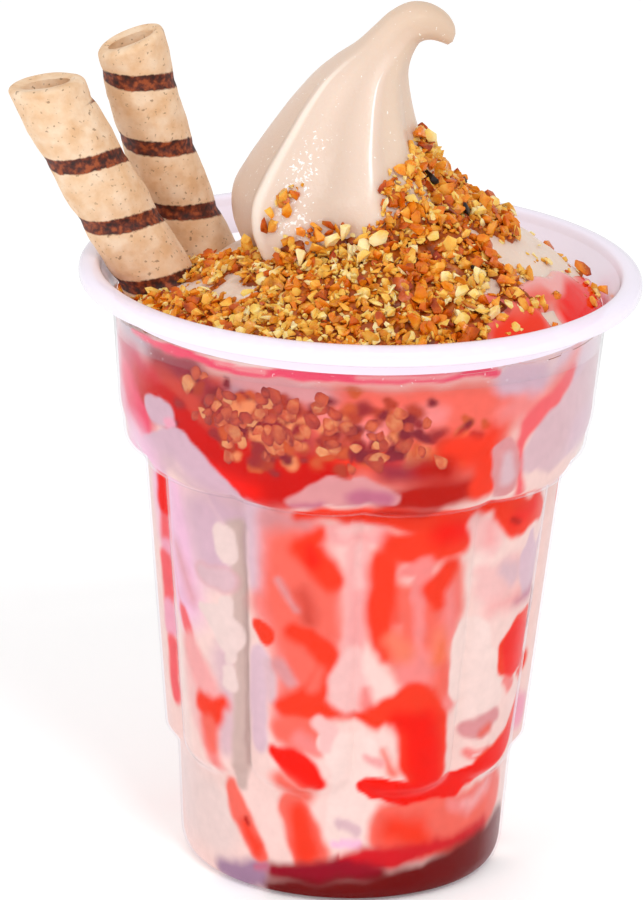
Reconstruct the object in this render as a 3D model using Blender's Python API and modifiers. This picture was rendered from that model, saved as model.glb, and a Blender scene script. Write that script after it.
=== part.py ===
"""Ice cream sundae: soft serve and strawberry sauce in a fluted clear cup, with nuts and two wafer rolls.

Metres, +Z up. The origin is the centre of the cup's base, and the sundae's front is -Y. An azimuth is an
angle about the cup's axis, from the front towards +X. The cup's outline is turned and then fluted. Its
contents are lofts that follow the inside of its wall, and the swirl is a loft through the spans of its
outline.
"""

import math

import bmesh
import bpy
from mathutils import Matrix, Vector

STEPS = 50  # points round the cup and its contents, five to a flute
GAP = 0.0003  # clearance between pieces that touch

# Cup: (radius, height) on the outside, in a valley between two flutes
WALL = 0.0008
BASE_RADIUS = 0.0257
BASE_ROUND = (0.0023, 0.0047)
SKIRT_TOP = (0.0288, 0.0180)
FLUTE_TOP = (0.0340, 0.0730)
SHOULDER_TOP = (0.0406, 0.0840)
BAND_TOP = (0.0419, 0.0996)
NECK_FOOT = (0.0424, 0.1003)
NECK_TOP = (0.0434, 0.1026)
LIP = ((0.0437, 0.1040), (0.0442, 0.1053), (0.0450, 0.1057), (0.0463, 0.1056), (0.0473, 0.1050),
       (0.0476, 0.1038), (0.0472, 0.1027), (0.0455, 0.1024))  # from inside over the top to the underside
ROUND_STEPS = 3  # segments in the base's rounded edge and in the shoulder

# Flutes: convex panels round the cup between the skirt and the shoulder
PANELS = 10
PANEL_OFFSET = math.radians(3)  # azimuth of the first valley
PANEL_DEPTH = 0.0019
PANEL_FOOT = 0.0193
PANEL_CORNER = 0.0035  # how much higher a panel starts at its edges
PANEL_FADE = 0.0060  # height over which the panels run out in the shoulder
PANEL_LEVELS = (0.0205, 0.0230)  # heights of the two rings that shape the panels' feet

# Contents: heights of the faces between the layers, at the wall
POOL_HEIGHT = 0.0095
POOL_TONGUES = ((1, 0.0, 0.0021), (3, 1.0, 0.0015))  # each (waves round the cup, phase, height)
FILLING_TOP = 0.0819
FILLING_TONGUES = ((2, 0.6, 0.0018),)
FILLING_SWELL = (85, 38, 0.0060)  # azimuth and width in degrees, and height, of its highest stretch
SAUCE_TOP_FRONT = 0.0965
SAUCE_TOP_BACK = 0.0905

# Mound: its height at the wall, and how its slope bends, at azimuths round the cup
EDGE_HEIGHTS = ((-180, 0.0940), (-135, 0.0945), (-90, 0.0970), (-45, 0.0990), (0, 0.0993), (60, 0.0992),
                (100, 0.0983), (125, 0.0950), (180, 0.0940))
SLOPE_BENDS = ((-180, 3.0), (-140, 2.6), (-100, 1.1), (-45, 0.85), (0, 0.8), (60, 0.72), (105, 0.7),
               (135, 2.6), (180, 3.0))
MOUND_RINGS = (0.0, 0.12, 0.3, 0.5, 0.75)

# Swirl: spans across its outline from the foot to the tip, each (left x, left z, right x, right z)
SWIRL_SPANS = (
    (-0.0206, 0.1075, 0.0185, 0.1185),
    (-0.0226, 0.1125, 0.0160, 0.1215),
    (-0.0227, 0.1175, 0.0140, 0.1245),
    (-0.0206, 0.1220, 0.0124, 0.1266),
    (-0.0180, 0.1262, 0.0107, 0.1288),
    (-0.0150, 0.1307, 0.0092, 0.1322),
    (-0.0122, 0.1346, 0.0080, 0.1358),
    (-0.0091, 0.1384, 0.0072, 0.1390),
    (-0.0056, 0.1415, 0.0072, 0.1412),
    (-0.0022, 0.1440, 0.0076, 0.1428),
    (0.0008, 0.1470, 0.0081, 0.1439),
    (0.0034, 0.1496, 0.0086, 0.1446),
    (0.0066, 0.1513, 0.0094, 0.1450),
    (0.0098, 0.1512, 0.0105, 0.1451),
    (0.0126, 0.1498, 0.0115, 0.1449),
    (0.0141, 0.1478, 0.0124, 0.1446),
    (0.0144, 0.1462, 0.0131, 0.1443),
)
SWIRL_TIP = (0.0140, 0.1448)
LOBES = 7
LOBE_AZIMUTH = math.radians(19)  # azimuth of the ridge nearest the front
LOBE_DEPTH = 0.13  # share of the radius at the foot
LOBE_DEPTH_TIP = 0.03
NEARBY = 0.02  # step to either side, in radians and in positions, for the direction square to the crown

# Nut topping: where it starts and how far it reaches up the crown, from the wall at 0 past the swirl's foot
# at 1, at azimuths round the cup
NUT_REACH = ((-100, 0.75), (-85, 0.95), (-60, 1.2), (-30, 1.7), (0, 1.6), (30, 2.2), (60, 3.6), (85, 5.0),
             (104, 4.4), (122, 0.9))
NUT_START = ((-100, 0.3), (-80, 0.05), (35, 0.05), (58, 0.38), (85, 0.5), (122, 0.55))
NUT_THICKNESS = 0.0026
NUT_EDGE = 0.6  # share of the thickness left at the edges
NUT_TAPER_ROWS = 3  # the heap thins over a third of its rows and a sixth of its columns at each side
NUT_TAPER_COLUMNS = 6
NUT_LUMPS = ((9, 5, 0.12), (17, -8, 0.10))  # each (waves round, waves up, share of the thickness)
NUT_ROOT = 0.0012  # how far below the crown's surface the heap starts, before the crown is cut from it
NUT_ROWS = 7
NUT_COLUMNS = 32
CROWN_GAP = 0.0008  # clearance under the nuts, at the corners of the faceted crown

# Wafer rolls: the foot is where the axis meets the mound, the head is the middle of the upper end, the bow is
# how far the middle stands out to the left and the slant is how far the upper end is from square
WAFER_LEFT = {"foot": (-0.0336, -0.0003, 0.1010), "head": (-0.0540, -0.0010, 0.1357), "radius": 0.0061,
              "bow": 0.0004, "slant": -0.36}
WAFER_RIGHT = {"foot": (-0.0264, 0.0142, 0.1005), "head": (-0.0403, 0.0110, 0.1407), "radius": 0.0058,
               "bow": 0.0013, "slant": 0.07}
WAFER_BURIED = 0.0150
WAFER_SLANT = 0.0090  # length at the head over which the rings turn to its slant
SOCKET_LENGTH = 0.0500
SOCKET_FLOOR = 0.0011  # room under a buried end
WAFER_HOLE = (0.0040, 0.0026)  # half width and half depth of the flattened hole
WAFER_BULGE = 0.0003
WAFER_PITCH = 0.0121  # distance between turns of the rolled ribbon
WAFER_POINTS = 14
WAFER_RINGS = 14
SOCKET_POINTS = 20

COLOURS = {
    "cup": (0.90, 0.86, 0.93),
    "sauce_pool": (0.30, 0.01, 0.03),
    "soft_serve_filling": (0.90, 0.78, 0.74),
    "sauce_nut_layer": (0.75, 0.05, 0.03),
    "soft_serve_swirl": (0.88, 0.80, 0.72),
    "nut_topping": (0.72, 0.42, 0.16),
    "wafer_left": (0.82, 0.66, 0.46),
    "wafer_right": (0.82, 0.66, 0.46),
}
PLAIN = (0.8, 0.8, 0.8)
ROUGHNESS = 0.35
SHARP_ANGLE = math.radians(50)


def lerp(a, b, t):
    return a + (b - a) * t


def smooth(t):
    """0 below 0, 1 above 1, and an even ease between."""
    t = min(max(t, 0.0), 1.0)
    return t * t * (3 - 2 * t)


def along(pairs, value):
    """Eased value of a curve given as (position, value) pairs."""
    for (a, va), (b, vb) in zip(pairs, pairs[1:]):
        if value <= b:
            return lerp(va, vb, smooth((value - a) / (b - a)))
    return pairs[-1][1]


def degrees_round(azimuth):
    """An azimuth in degrees, from -180 to 180."""
    return (math.degrees(azimuth) + 180) % 360 - 180


def polar(azimuth, radius, height):
    return Vector((radius * math.sin(azimuth), -radius * math.cos(azimuth), height))


def ellipse_arc(centre, radii, first, last, steps):
    """Points after the first of an arc, in degrees from +X."""
    angles = (math.radians(lerp(first, last, i / steps)) for i in range(1, steps + 1))
    return [(centre[0] + radii[0] * math.cos(a), centre[1] + radii[1] * math.sin(a)) for a in angles]


# ---- cup -------------------------------------------------------------------------------------------------


def outer_outline():
    """(radius, height) up the outside of the cup, from the middle of its base to the top of its neck."""
    base = [(0.0, 0.0), (BASE_RADIUS, 0.0)]
    base += ellipse_arc((BASE_RADIUS, BASE_ROUND[1]), BASE_ROUND, -90, 0, ROUND_STEPS)
    panels = [SKIRT_TOP]
    for height in PANEL_LEVELS:
        share = (height - SKIRT_TOP[1]) / (FLUTE_TOP[1] - SKIRT_TOP[1])
        panels.append((lerp(SKIRT_TOP[0], FLUTE_TOP[0], share), height))
    panels.append(FLUTE_TOP)
    bulge = (SHOULDER_TOP[0] - FLUTE_TOP[0], SHOULDER_TOP[1] - FLUTE_TOP[1])
    shoulder = ellipse_arc((FLUTE_TOP[0], SHOULDER_TOP[1]), bulge, -90, 0, ROUND_STEPS)
    return base + panels + shoulder + [BAND_TOP, NECK_FOOT, NECK_TOP]


def offset(outline, distance):
    """The outline moved towards the inside of the cup, square to each of its edges."""
    normals = []
    for (r0, z0), (r1, z1) in zip(outline, outline[1:]):
        length = math.hypot(r1 - r0, z1 - z0)
        normals.append(Vector(((z0 - z1) / length, (r1 - r0) / length)))
    moved = []
    for point, before, after in zip(outline, normals[:1] + normals, normals + normals[-1:]):
        move = (before + after) * (distance / (1 + before.dot(after)))
        moved.append((point[0] + move[0] if point[0] > 0 else 0.0, point[1] + move[1]))
    return moved


def panel_raise(azimuth, height):
    """How far a flute stands out from the valleys beside it."""
    share = ((azimuth - PANEL_OFFSET) * PANELS / math.tau) % 1
    across = abs(2 * share - 1)
    foot = PANEL_FOOT + PANEL_CORNER * (1 - math.sqrt(1 - min(across, 1.0) ** 2))
    start = smooth((height - foot) / (PANEL_LEVELS[1] - PANEL_FOOT))
    finish = 1 - smooth((height - FLUTE_TOP[1]) / PANEL_FADE)
    return PANEL_DEPTH * (1 - across**3) * start * finish


def cup_outline():
    """The cup's whole section: up its inside, over the lip and down its outside."""
    outside = outer_outline()
    return offset(outside, WALL) + list(LIP) + outside[::-1]


def turned(outline, name):
    """A mesh of the outline turned about the Z axis."""
    profile = bpy.data.meshes.new(name)
    edges = [(i, i + 1) for i in range(len(outline) - 1)]
    profile.from_pydata([(radius, 0.0, height) for radius, height in outline], edges, [])
    turning = bpy.data.objects.new(name + "_outline", profile)
    bpy.context.scene.collection.objects.link(turning)
    screw = turning.modifiers.new("turn", "SCREW")
    screw.steps = screw.render_steps = STEPS
    screw.use_merge_vertices = True
    screw.merge_threshold = 0.00001
    bpy.context.view_layer.update()
    mesh = bpy.data.meshes.new_from_object(turning.evaluated_get(bpy.context.evaluated_depsgraph_get()))
    bpy.data.objects.remove(turning)
    return mesh


def make_cup():
    mesh = turned(cup_outline(), "cup")
    mesh.transform(Matrix.Rotation(PANEL_OFFSET - math.pi / 2, 4, "Z"))
    for vertex in mesh.vertices:
        radius = math.hypot(vertex.co.x, vertex.co.y)
        if radius > BASE_RADIUS:
            azimuth = math.atan2(vertex.co.x, -vertex.co.y)
            vertex.co = polar(azimuth, radius + panel_raise(azimuth, vertex.co.z), vertex.co.z)
    return add_piece("cup", mesh)


# ---- contents --------------------------------------------------------------------------------------------

AZIMUTHS = [PANEL_OFFSET + math.tau * i / STEPS for i in range(STEPS)]
INSIDE = offset(outer_outline(), WALL + GAP)


def inner_radius(azimuth, height):
    """Radius of the contents at the wall."""
    for (r0, z0), (r1, z1) in zip(INSIDE[1:], INSIDE[2:]):
        if height <= z1:
            radius = lerp(r0, r1, (height - z0) / (z1 - z0))
            return radius + panel_raise(azimuth, height)
    return INSIDE[-1][0]


def wall_ring(height_at):
    """Points against the inside of the wall, at the height that height_at gives for each azimuth."""
    return [polar(a, inner_radius(a, height_at(a)), height_at(a)) for a in AZIMUTHS]


def level_rings(low, high):
    """A ring at each height between low and high where the wall changes."""
    heights = [height for _, height in INSIDE[1:] if low < height < high]
    return [wall_ring(lambda azimuth, height=height: height) for height in heights]


def tongues(waves, azimuth):
    return sum(height * math.sin(count * azimuth + phase) for count, phase, height in waves)


def pool_top(azimuth):
    """The sauce at the bottom is deepest at the right and has uneven tongues."""
    return POOL_HEIGHT + tongues(POOL_TONGUES, azimuth)


def filling_top(azimuth):
    """The filling reaches highest at the right."""
    middle, width, height = FILLING_SWELL
    swell = math.exp(-((degrees_round(azimuth) - middle) / width) ** 2)
    return FILLING_TOP + tongues(FILLING_TONGUES, azimuth) + height * swell


def sauce_top(azimuth):
    return lerp(SAUCE_TOP_BACK, SAUCE_TOP_FRONT, (1 + math.cos(azimuth)) / 2)


def raised(height_at, by):
    return lambda azimuth: height_at(azimuth) + by


def centre_of(ring):
    """The middle of a ring, on the cup's axis."""
    return Vector((0, 0, sum(point.z for point in ring) / len(ring)))


def strip_faces(shape, row):
    """Closes a long flat ring with faces from each of its points to the one opposite."""
    for i in range(len(row) // 2 - 1):
        shape.faces.new((row[i], row[i + 1], row[-i - 2], row[-i - 1]))


def fan_faces(shape, row, end):
    """Closes a ring with triangles that meet in a point."""
    tip = shape.verts.new(end)
    for i, vertex in enumerate(row):
        shape.faces.new((tip, vertex, row[(i + 1) % len(row)]))


def loft(name, rings, ends):
    """A closed body through rings with equally many points.

    The ends are a pair of points, or "strips" for long flat rings, or "joined" where the last ring meets the
    first.
    """
    mesh = bpy.data.meshes.new(name)
    shape = bmesh.new()
    rows = [[shape.verts.new(point) for point in ring] for ring in rings]
    for low, high in zip(rows, rows[1:] + (rows[:1] if ends == "joined" else [])):
        for i, vertex in enumerate(low):
            j = (i + 1) % len(low)
            shape.faces.new((vertex, low[j], high[j], high[i]))
    if ends == "strips":
        strip_faces(shape, rows[0])
        strip_faces(shape, rows[-1])
    elif ends != "joined":
        fan_faces(shape, rows[0], ends[0])
        fan_faces(shape, rows[-1], ends[1])
    bmesh.ops.recalc_face_normals(shape, faces=shape.faces)
    shape.to_mesh(mesh)
    shape.free()
    return add_piece(name, mesh)


def make_pool():
    floor = INSIDE[1][1]
    bottom = [polar(azimuth, INSIDE[1][0], floor) for azimuth in AZIMUTHS]
    surface = wall_ring(pool_top)
    corner = BASE_ROUND[1] + WALL
    rings = [bottom] + level_rings(floor, corner) + [surface]
    return loft("sauce_pool", rings, (centre_of(bottom), centre_of(surface)))


def make_filling():
    bottom = wall_ring(raised(pool_top, GAP))
    surface = wall_ring(filling_top)
    lowest_top = min(point.z for point in surface)
    rings = [bottom] + level_rings(SKIRT_TOP[1] - WALL, lowest_top) + [surface]
    return loft("soft_serve_filling", rings, (centre_of(bottom), centre_of(surface)))


def make_sauce_layer():
    bottom = wall_ring(raised(filling_top, GAP))
    surface = wall_ring(sauce_top)
    return loft("sauce_nut_layer", [bottom, surface], (centre_of(bottom), centre_of(surface)))


# ---- swirl and nuts --------------------------------------------------------------------------------------


def spline(points, position):
    """A point on the smooth curve through the points, where each whole position is one of them."""
    i = min(int(position), len(points) - 2)
    t = position - i
    p0, p1, p2, p3 = (points[min(max(i + k, 0), len(points) - 1)] for k in (-1, 0, 1, 2))
    return [
        b + t * ((c - a) + t * ((2 * a - 5 * b + 4 * c - d) + t * (3 * b - a - 3 * c + d))) / 2
        for a, b, c, d in zip(p0, p1, p2, p3)
    ]


def swirl_point(azimuth, position):
    """A point of the swirl, where each whole position is one of its spans."""
    left_x, left_z, right_x, right_z = spline(SWIRL_SPANS, position)
    half = Vector((right_x - left_x, 0, right_z - left_z)) / 2
    middle = Vector((left_x + right_x, 0, left_z + right_z)) / 2
    depth = lerp(LOBE_DEPTH, LOBE_DEPTH_TIP, smooth(position / (len(SWIRL_SPANS) - 1)))
    size = 1 - depth * (1 - math.cos(LOBES * (azimuth - LOBE_AZIMUTH))) / 2
    return middle + (half * math.sin(azimuth) + Vector((0, -half.length * math.cos(azimuth), 0))) * size


def crown_point(azimuth, position):
    """A point on top of the soft serve: 0 is at the wall, 1 at the swirl's foot, and then a span each."""
    if position >= 1:
        return swirl_point(azimuth, position - 1)
    around = degrees_round(azimuth)
    height = along(EDGE_HEIGHTS, around)
    edge = polar(azimuth, inner_radius(azimuth, height), height)
    foot = swirl_point(azimuth, 0)
    point = edge.lerp(foot, position)
    point.z = lerp(edge.z, foot.z, position ** along(SLOPE_BENDS, around))
    return point


def crown_normal(azimuth, position):
    across = crown_point(azimuth + NEARBY, position) - crown_point(azimuth - NEARBY, position)
    upward = crown_point(azimuth, position + NEARBY) - crown_point(azimuth, max(position - NEARBY, 0))
    return across.cross(upward).normalized()


def make_swirl(name, growth=0.0):
    """The soft serve above the sauce: mound and swirl in one. It can be grown to cut its neighbours."""
    bottom = wall_ring(raised(sauce_top, GAP))
    positions = list(MOUND_RINGS) + [1 + i for i in range(len(SWIRL_SPANS))]
    rings = [bottom]
    for position in positions:
        rings.append([crown_point(a, position) + crown_normal(a, position) * growth for a in AZIMUTHS])
    tip = Vector((SWIRL_TIP[0], 0, SWIRL_TIP[1] - growth))
    return loft(name, rings, (centre_of(bottom), tip))


def nut_depth(azimuth, share):
    """Thickness of the nuts, which thins out at their edges and is uneven between."""
    first, last = NUT_REACH[0][0], NUT_REACH[-1][0]
    around = (math.degrees(azimuth) - first) / (last - first)
    rise = min(share, 1 - share) * NUT_TAPER_ROWS
    run = min(around, 1 - around) * NUT_TAPER_COLUMNS
    taper = min(1, NUT_EDGE + rise, NUT_EDGE + run)
    lumps = sum(size * math.sin(across * azimuth + up * share) for across, up, size in NUT_LUMPS)
    return NUT_THICKNESS * taper * (1 + lumps)


def make_nuts():
    """A bed of nuts over the mound, thick along the front, that climbs the right side of the swirl."""
    first, last = math.radians(NUT_REACH[0][0]), math.radians(NUT_REACH[-1][0])
    sections = []
    for column in range(NUT_COLUMNS):
        azimuth = lerp(first, last, column / (NUT_COLUMNS - 1))
        outward = polar(azimuth, 1, 1).normalized()
        start = along(NUT_START, math.degrees(azimuth))
        reach = along(NUT_REACH, math.degrees(azimuth))
        under, over = [], []
        for row in range(NUT_ROWS):
            share = row / (NUT_ROWS - 1)
            position = lerp(start, reach, share)
            point = crown_point(azimuth, position)
            under.append(point - outward * NUT_ROOT)
            over.append(point + outward * nut_depth(azimuth, share))
        sections.append(under + over[::-1])
    nuts = loft("nut_topping", sections, "strips")
    cut(nuts, make_cutter(make_swirl("crown_cutter", CROWN_GAP)))
    return nuts


# ---- wafers ----------------------------------------------------------------------------------------------


def wafer_frame(wafer):
    """The line from foot to head as a direction and a length, and two directions square to it."""
    line = Vector(wafer["head"]) - Vector(wafer["foot"])
    axis = line.normalized()
    side = Vector((0, 1, 0)).cross(axis).normalized()
    return axis, line.length, side, axis.cross(side)


def wafer_middle(wafer, distance):
    """The middle of the roll at a distance up from its foot. It is straight below the foot."""
    axis, length, side, _ = wafer_frame(wafer)
    bow = 4 * wafer["bow"] * (distance / length) * (1 - max(distance, 0) / length)
    return Vector(wafer["foot"]) + axis * distance - side * bow


def make_wafer(name, wafer):
    """A hollow roll that bulges between the turns of its ribbon."""
    _, length, side, back = wafer_frame(wafer)

    def ring(distance, radii, bulge=0.0):
        points = []
        for i in range(WAFER_POINTS):
            angle = math.tau * i / WAFER_POINTS
            turn = math.pi * (distance / WAFER_PITCH + angle / math.tau)
            size = 1 + bulge * (abs(math.sin(turn)) - 0.5) / radii[0]
            across = (side * math.cos(angle) * radii[0] + back * math.sin(angle) * radii[1]) * size
            turned_in = smooth((distance - length + WAFER_SLANT) / WAFER_SLANT)
            slant = wafer["slant"] * turned_in * across.dot(side)
            points.append(wafer_middle(wafer, distance + slant) + across)
        return points

    body = (wafer["radius"], wafer["radius"])
    distances = [lerp(-WAFER_BURIED, length, i / WAFER_RINGS) for i in range(WAFER_RINGS + 1)]
    outside = [ring(distance, body, WAFER_BULGE) for distance in distances]
    inside = [ring(distance, WAFER_HOLE) for distance in (length, length - WAFER_SLANT, -WAFER_BURIED)]
    return loft(name, outside + inside, "joined")


def make_socket(name, wafer):
    """A cutter for the hole that a wafer stands in."""
    low = wafer_middle(wafer, -WAFER_BURIED - SOCKET_FLOOR)
    high = wafer_middle(wafer, 0)
    axis = (high - low).normalized()
    radius = wafer["radius"] + WAFER_BULGE + GAP
    middle = low + axis * SOCKET_LENGTH / 2
    bpy.ops.mesh.primitive_cylinder_add(vertices=SOCKET_POINTS, radius=radius, depth=SOCKET_LENGTH,
                                        location=middle)
    socket = bpy.context.object
    socket.name = name
    socket.rotation_mode = "QUATERNION"
    socket.rotation_quaternion = axis.to_track_quat("Z", "Y")
    return make_cutter(socket)


# ---- scene -----------------------------------------------------------------------------------------------


def collection(name):
    found = bpy.data.collections.get(name)
    if found is None:
        found = bpy.data.collections.new(name)
        bpy.context.scene.collection.children.link(found)
    return found


def move_to(piece, name):
    for holder in list(piece.users_collection):
        holder.objects.unlink(piece)
    collection(name).objects.link(piece)


def make_cutter(shape):
    shape.hide_render = True
    shape.display_type = "WIRE"
    move_to(shape, "cutters")
    return shape


def cut(piece, cutter):
    """Cuts the cutter's shape out of a piece."""
    boolean = piece.modifiers.new(cutter.name, "BOOLEAN")
    boolean.operation = "DIFFERENCE"
    boolean.solver = "EXACT"
    boolean.object = cutter


def material(name):
    made = bpy.data.materials.new(name)
    made.use_nodes = True
    shader = made.node_tree.nodes["Principled BSDF"]
    shader.inputs["Base Color"].default_value = (*COLOURS.get(name, PLAIN), 1)
    shader.inputs["Roughness"].default_value = ROUGHNESS
    shader.inputs["Metallic"].default_value = 0.0
    return made


def add_piece(name, mesh):
    mesh.name = name
    mesh.shade_smooth()
    mesh.set_sharp_from_angle(angle=SHARP_ANGLE)
    mesh.materials.clear()
    mesh.materials.append(material(name))
    piece = bpy.data.objects.new(name, mesh)
    collection("ice_cream_sundae").objects.link(piece)
    return piece


def main():
    for thing in list(bpy.data.objects):
        bpy.data.objects.remove(thing)
    make_cup()
    make_pool()
    make_filling()
    holders = [make_sauce_layer(), make_swirl("soft_serve_swirl"), make_nuts()]
    for name, wafer in (("wafer_left", WAFER_LEFT), ("wafer_right", WAFER_RIGHT)):
        make_wafer(name, wafer)
        socket = make_socket(name + "_socket", wafer)
        for piece in holders:
            cut(piece, socket)


main()
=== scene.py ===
"""The looks of an ice cream sundae: soft serve, strawberry sauce, chopped nuts and wafer rolls in a clear cup.

Metres, +Z up. The cup stands on z = 0 with its axis on Z, and its front is -Y. An azimuth is an angle about
that axis, from the front towards +X. Places on the cup's wall are given as an azimuth in degrees and a
height in millimetres.
"""

import math
import random

import bmesh
import bpy
import numpy as np
from mathutils import Matrix, Quaternion, Vector, noise


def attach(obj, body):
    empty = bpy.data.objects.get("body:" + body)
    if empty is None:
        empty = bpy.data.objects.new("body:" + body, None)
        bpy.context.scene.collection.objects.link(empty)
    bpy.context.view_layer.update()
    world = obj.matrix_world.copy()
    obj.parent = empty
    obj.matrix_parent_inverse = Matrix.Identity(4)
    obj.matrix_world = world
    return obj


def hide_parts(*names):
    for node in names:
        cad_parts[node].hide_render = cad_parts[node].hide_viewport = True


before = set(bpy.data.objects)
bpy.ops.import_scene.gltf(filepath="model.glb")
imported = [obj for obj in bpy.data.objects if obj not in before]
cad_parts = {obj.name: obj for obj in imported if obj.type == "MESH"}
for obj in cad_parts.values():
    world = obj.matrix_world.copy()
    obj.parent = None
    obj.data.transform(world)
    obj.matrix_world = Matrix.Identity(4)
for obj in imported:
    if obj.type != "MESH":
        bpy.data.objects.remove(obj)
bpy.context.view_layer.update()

MM = 0.001

# ---- the cup's and the contents' dimensions, as in the part ----------------------------------------------

WALL = 0.0008
BITE = 0.00035  # how far the contents reach into the wall, so that no air shows
BASE_RADIUS = 0.0257
BASE_ROUND = (0.0023, 0.0047)
SKIRT_TOP = (0.0288, 0.0180)
FLUTE_TOP = (0.0340, 0.0730)
SHOULDER_TOP = (0.0406, 0.0840)
BAND_TOP = (0.0419, 0.0996)
NECK_FOOT = (0.0424, 0.1003)
NECK_TOP = (0.0434, 0.1026)
LIP = ((0.0437, 0.1040), (0.0442, 0.1053), (0.0450, 0.1057), (0.0463, 0.1056), (0.0473, 0.1050),
       (0.0476, 0.1038), (0.0472, 0.1027), (0.0455, 0.1024))

PANELS = 10
PANEL_OFFSET = math.radians(3)
PANEL_DEPTH = 0.0019
PANEL_FOOT = 0.0193
PANEL_CORNER = 0.0035
PANEL_FADE = 0.0060
PANEL_START = 0.0037  # height over which the panels rise from the skirt

POOL_HEIGHT = 0.0095
POOL_TONGUES = ((1, 0.0, 0.0021), (3, 1.0, 0.0015))
FILLING_TOP = 0.0819
FILLING_TONGUES = ((2, 0.6, 0.0018),)
FILLING_SWELL = (85, 38, 0.0060)
SAUCE_TOP_FRONT = 0.0965
SAUCE_TOP_BACK = 0.0905

EDGE_HEIGHTS = ((-180, 0.0940), (-135, 0.0945), (-90, 0.0970), (-45, 0.0990), (0, 0.0993), (60, 0.0992),
                (100, 0.0983), (125, 0.0950), (180, 0.0940))
SLOPE_BENDS = ((-180, 3.0), (-140, 2.6), (-100, 1.1), (-45, 0.85), (0, 0.8), (60, 0.72), (105, 0.7),
               (135, 2.6), (180, 3.0))

SWIRL_SPANS = (
    (-0.0206, 0.1075, 0.0185, 0.1185),
    (-0.0226, 0.1125, 0.0160, 0.1215),
    (-0.0227, 0.1175, 0.0140, 0.1245),
    (-0.0206, 0.1220, 0.0124, 0.1266),
    (-0.0180, 0.1262, 0.0107, 0.1288),
    (-0.0150, 0.1307, 0.0092, 0.1322),
    (-0.0122, 0.1346, 0.0080, 0.1358),
    (-0.0091, 0.1384, 0.0072, 0.1390),
    (-0.0056, 0.1415, 0.0072, 0.1412),
    (-0.0022, 0.1440, 0.0076, 0.1428),
    (0.0008, 0.1470, 0.0081, 0.1439),
    (0.0034, 0.1496, 0.0086, 0.1446),
    (0.0066, 0.1513, 0.0094, 0.1450),
    (0.0098, 0.1512, 0.0105, 0.1451),
    (0.0126, 0.1498, 0.0115, 0.1449),
    (0.0141, 0.1478, 0.0124, 0.1446),
    (0.0144, 0.1462, 0.0131, 0.1443),
)
SWIRL_TIP = (0.0140, 0.1448)
LOBE_DEPTH = 0.14
# How deep the swirl's side is at each azimuth, from 0 on a ridge to 1 in a deep groove
RIDGES = ((-180, 0.3), (-160, 0.0), (-136, 1.0), (-112, 0.0), (-64, 1.0), (-47, 0.0), (-28, 0.1), (-4, 0.85),
          (19, 0.0), (30, 0.35), (44, 0.05), (64, 0.85), (84, 0.65), (106, 0.9), (132, 0.0), (158, 1.0), (180, 0.3))
RIDGE_FADE = (4.0, 6.0)  # the span where the ridges start to fade, and over how many spans they do

WAFER_LEFT = {"foot": (-0.0336, -0.0003, 0.1010), "head": (-0.0540, -0.0010, 0.1357), "radius": 0.0061,
              "bow": 0.0004, "slant": -0.36, "phase": 0.1, "bare": 0.0055}
WAFER_RIGHT = {"foot": (-0.0264, 0.0142, 0.1005), "head": (-0.0403, 0.0110, 0.1407), "radius": 0.0058,
               "bow": 0.0013, "slant": 0.07, "phase": 0.24, "bare": 0.0030}
WAFER_BURIED = 0.0130
WAFER_SLANT = 0.0090
WAFER_HOLE = (0.0040, 0.0026)
WAFER_BULGE = 0.0005
WAFER_PITCH = 0.0121

# ---- fineness of the meshes ------------------------------------------------------------------------------

CUP_STEPS = 300
ROUND_STEPS = 8
WALL_COLUMNS = 600
CROWN_COLUMNS = 420

random.seed(7)


# ---- small helpers ---------------------------------------------------------------------------------------


def lerp(a, b, t):
    return a + (b - a) * t


def smooth(t):
    """0 below 0, 1 above 1, and an even ease between, for numbers and arrays."""
    t = np.clip(t, 0.0, 1.0)
    return t * t * (3 - 2 * t)


def along(pairs, value):
    """Eased value of a curve given as (position, value) pairs."""
    for (a, va), (b, vb) in zip(pairs, pairs[1:]):
        if value <= b:
            t = min(max((value - a) / (b - a), 0.0), 1.0)
            return lerp(va, vb, t * t * (3 - 2 * t))
    return pairs[-1][1]


def degrees_round(azimuth):
    """An azimuth in degrees, from -180 to 180."""
    return (math.degrees(azimuth) + 180) % 360 - 180


def polar(azimuth, radius, height):
    return Vector((radius * math.sin(azimuth), -radius * math.cos(azimuth), height))


def colour(red, green, blue):
    """A linear colour from one as it looks on a screen, each of its values from 0 to 255."""
    def linear(value):
        value /= 255
        return value / 12.92 if value <= 0.04045 else ((value + 0.055) / 1.055) ** 2.4

    return (linear(red), linear(green), linear(blue))


def mesh_object(name, points, faces, material=None, smooth_angle=60):
    mesh = bpy.data.meshes.new(name)
    mesh.from_pydata([tuple(p) for p in points], [], faces)
    mesh.shade_smooth()
    mesh.set_sharp_from_angle(angle=math.radians(smooth_angle))
    piece = bpy.data.objects.new(name, mesh)
    bpy.context.scene.collection.objects.link(piece)
    if material:
        mesh.materials.append(material)
    return piece


def grid_faces(rows, columns):
    """Faces of a grid that closes round its columns, facing out where the rows go up."""
    faces = []
    for row in range(rows - 1):
        low, high = row * columns, (row + 1) * columns
        for i in range(columns):
            j = (i + 1) % columns
            faces.append((low + i, low + j, high + j, high + i))
    return faces


def capped_grid(name, grid, material, low_end=None, high_end=None, smooth_angle=60):
    """A closed body from a grid of points (rows, columns, 3), with a fan at each end that is given."""
    rows, columns, _ = grid.shape
    points = [tuple(p) for p in grid.reshape(-1, 3)]
    faces = grid_faces(rows, columns)
    if low_end is not None:
        points.append(tuple(low_end))
        tip = len(points) - 1
        faces += [(tip, (i + 1) % columns, i) for i in range(columns)]
    if high_end is not None:
        points.append(tuple(high_end))
        tip, start = len(points) - 1, (rows - 1) * columns
        faces += [(tip, start + i, start + (i + 1) % columns) for i in range(columns)]
    return mesh_object(name, points, faces, material, smooth_angle)


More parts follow.
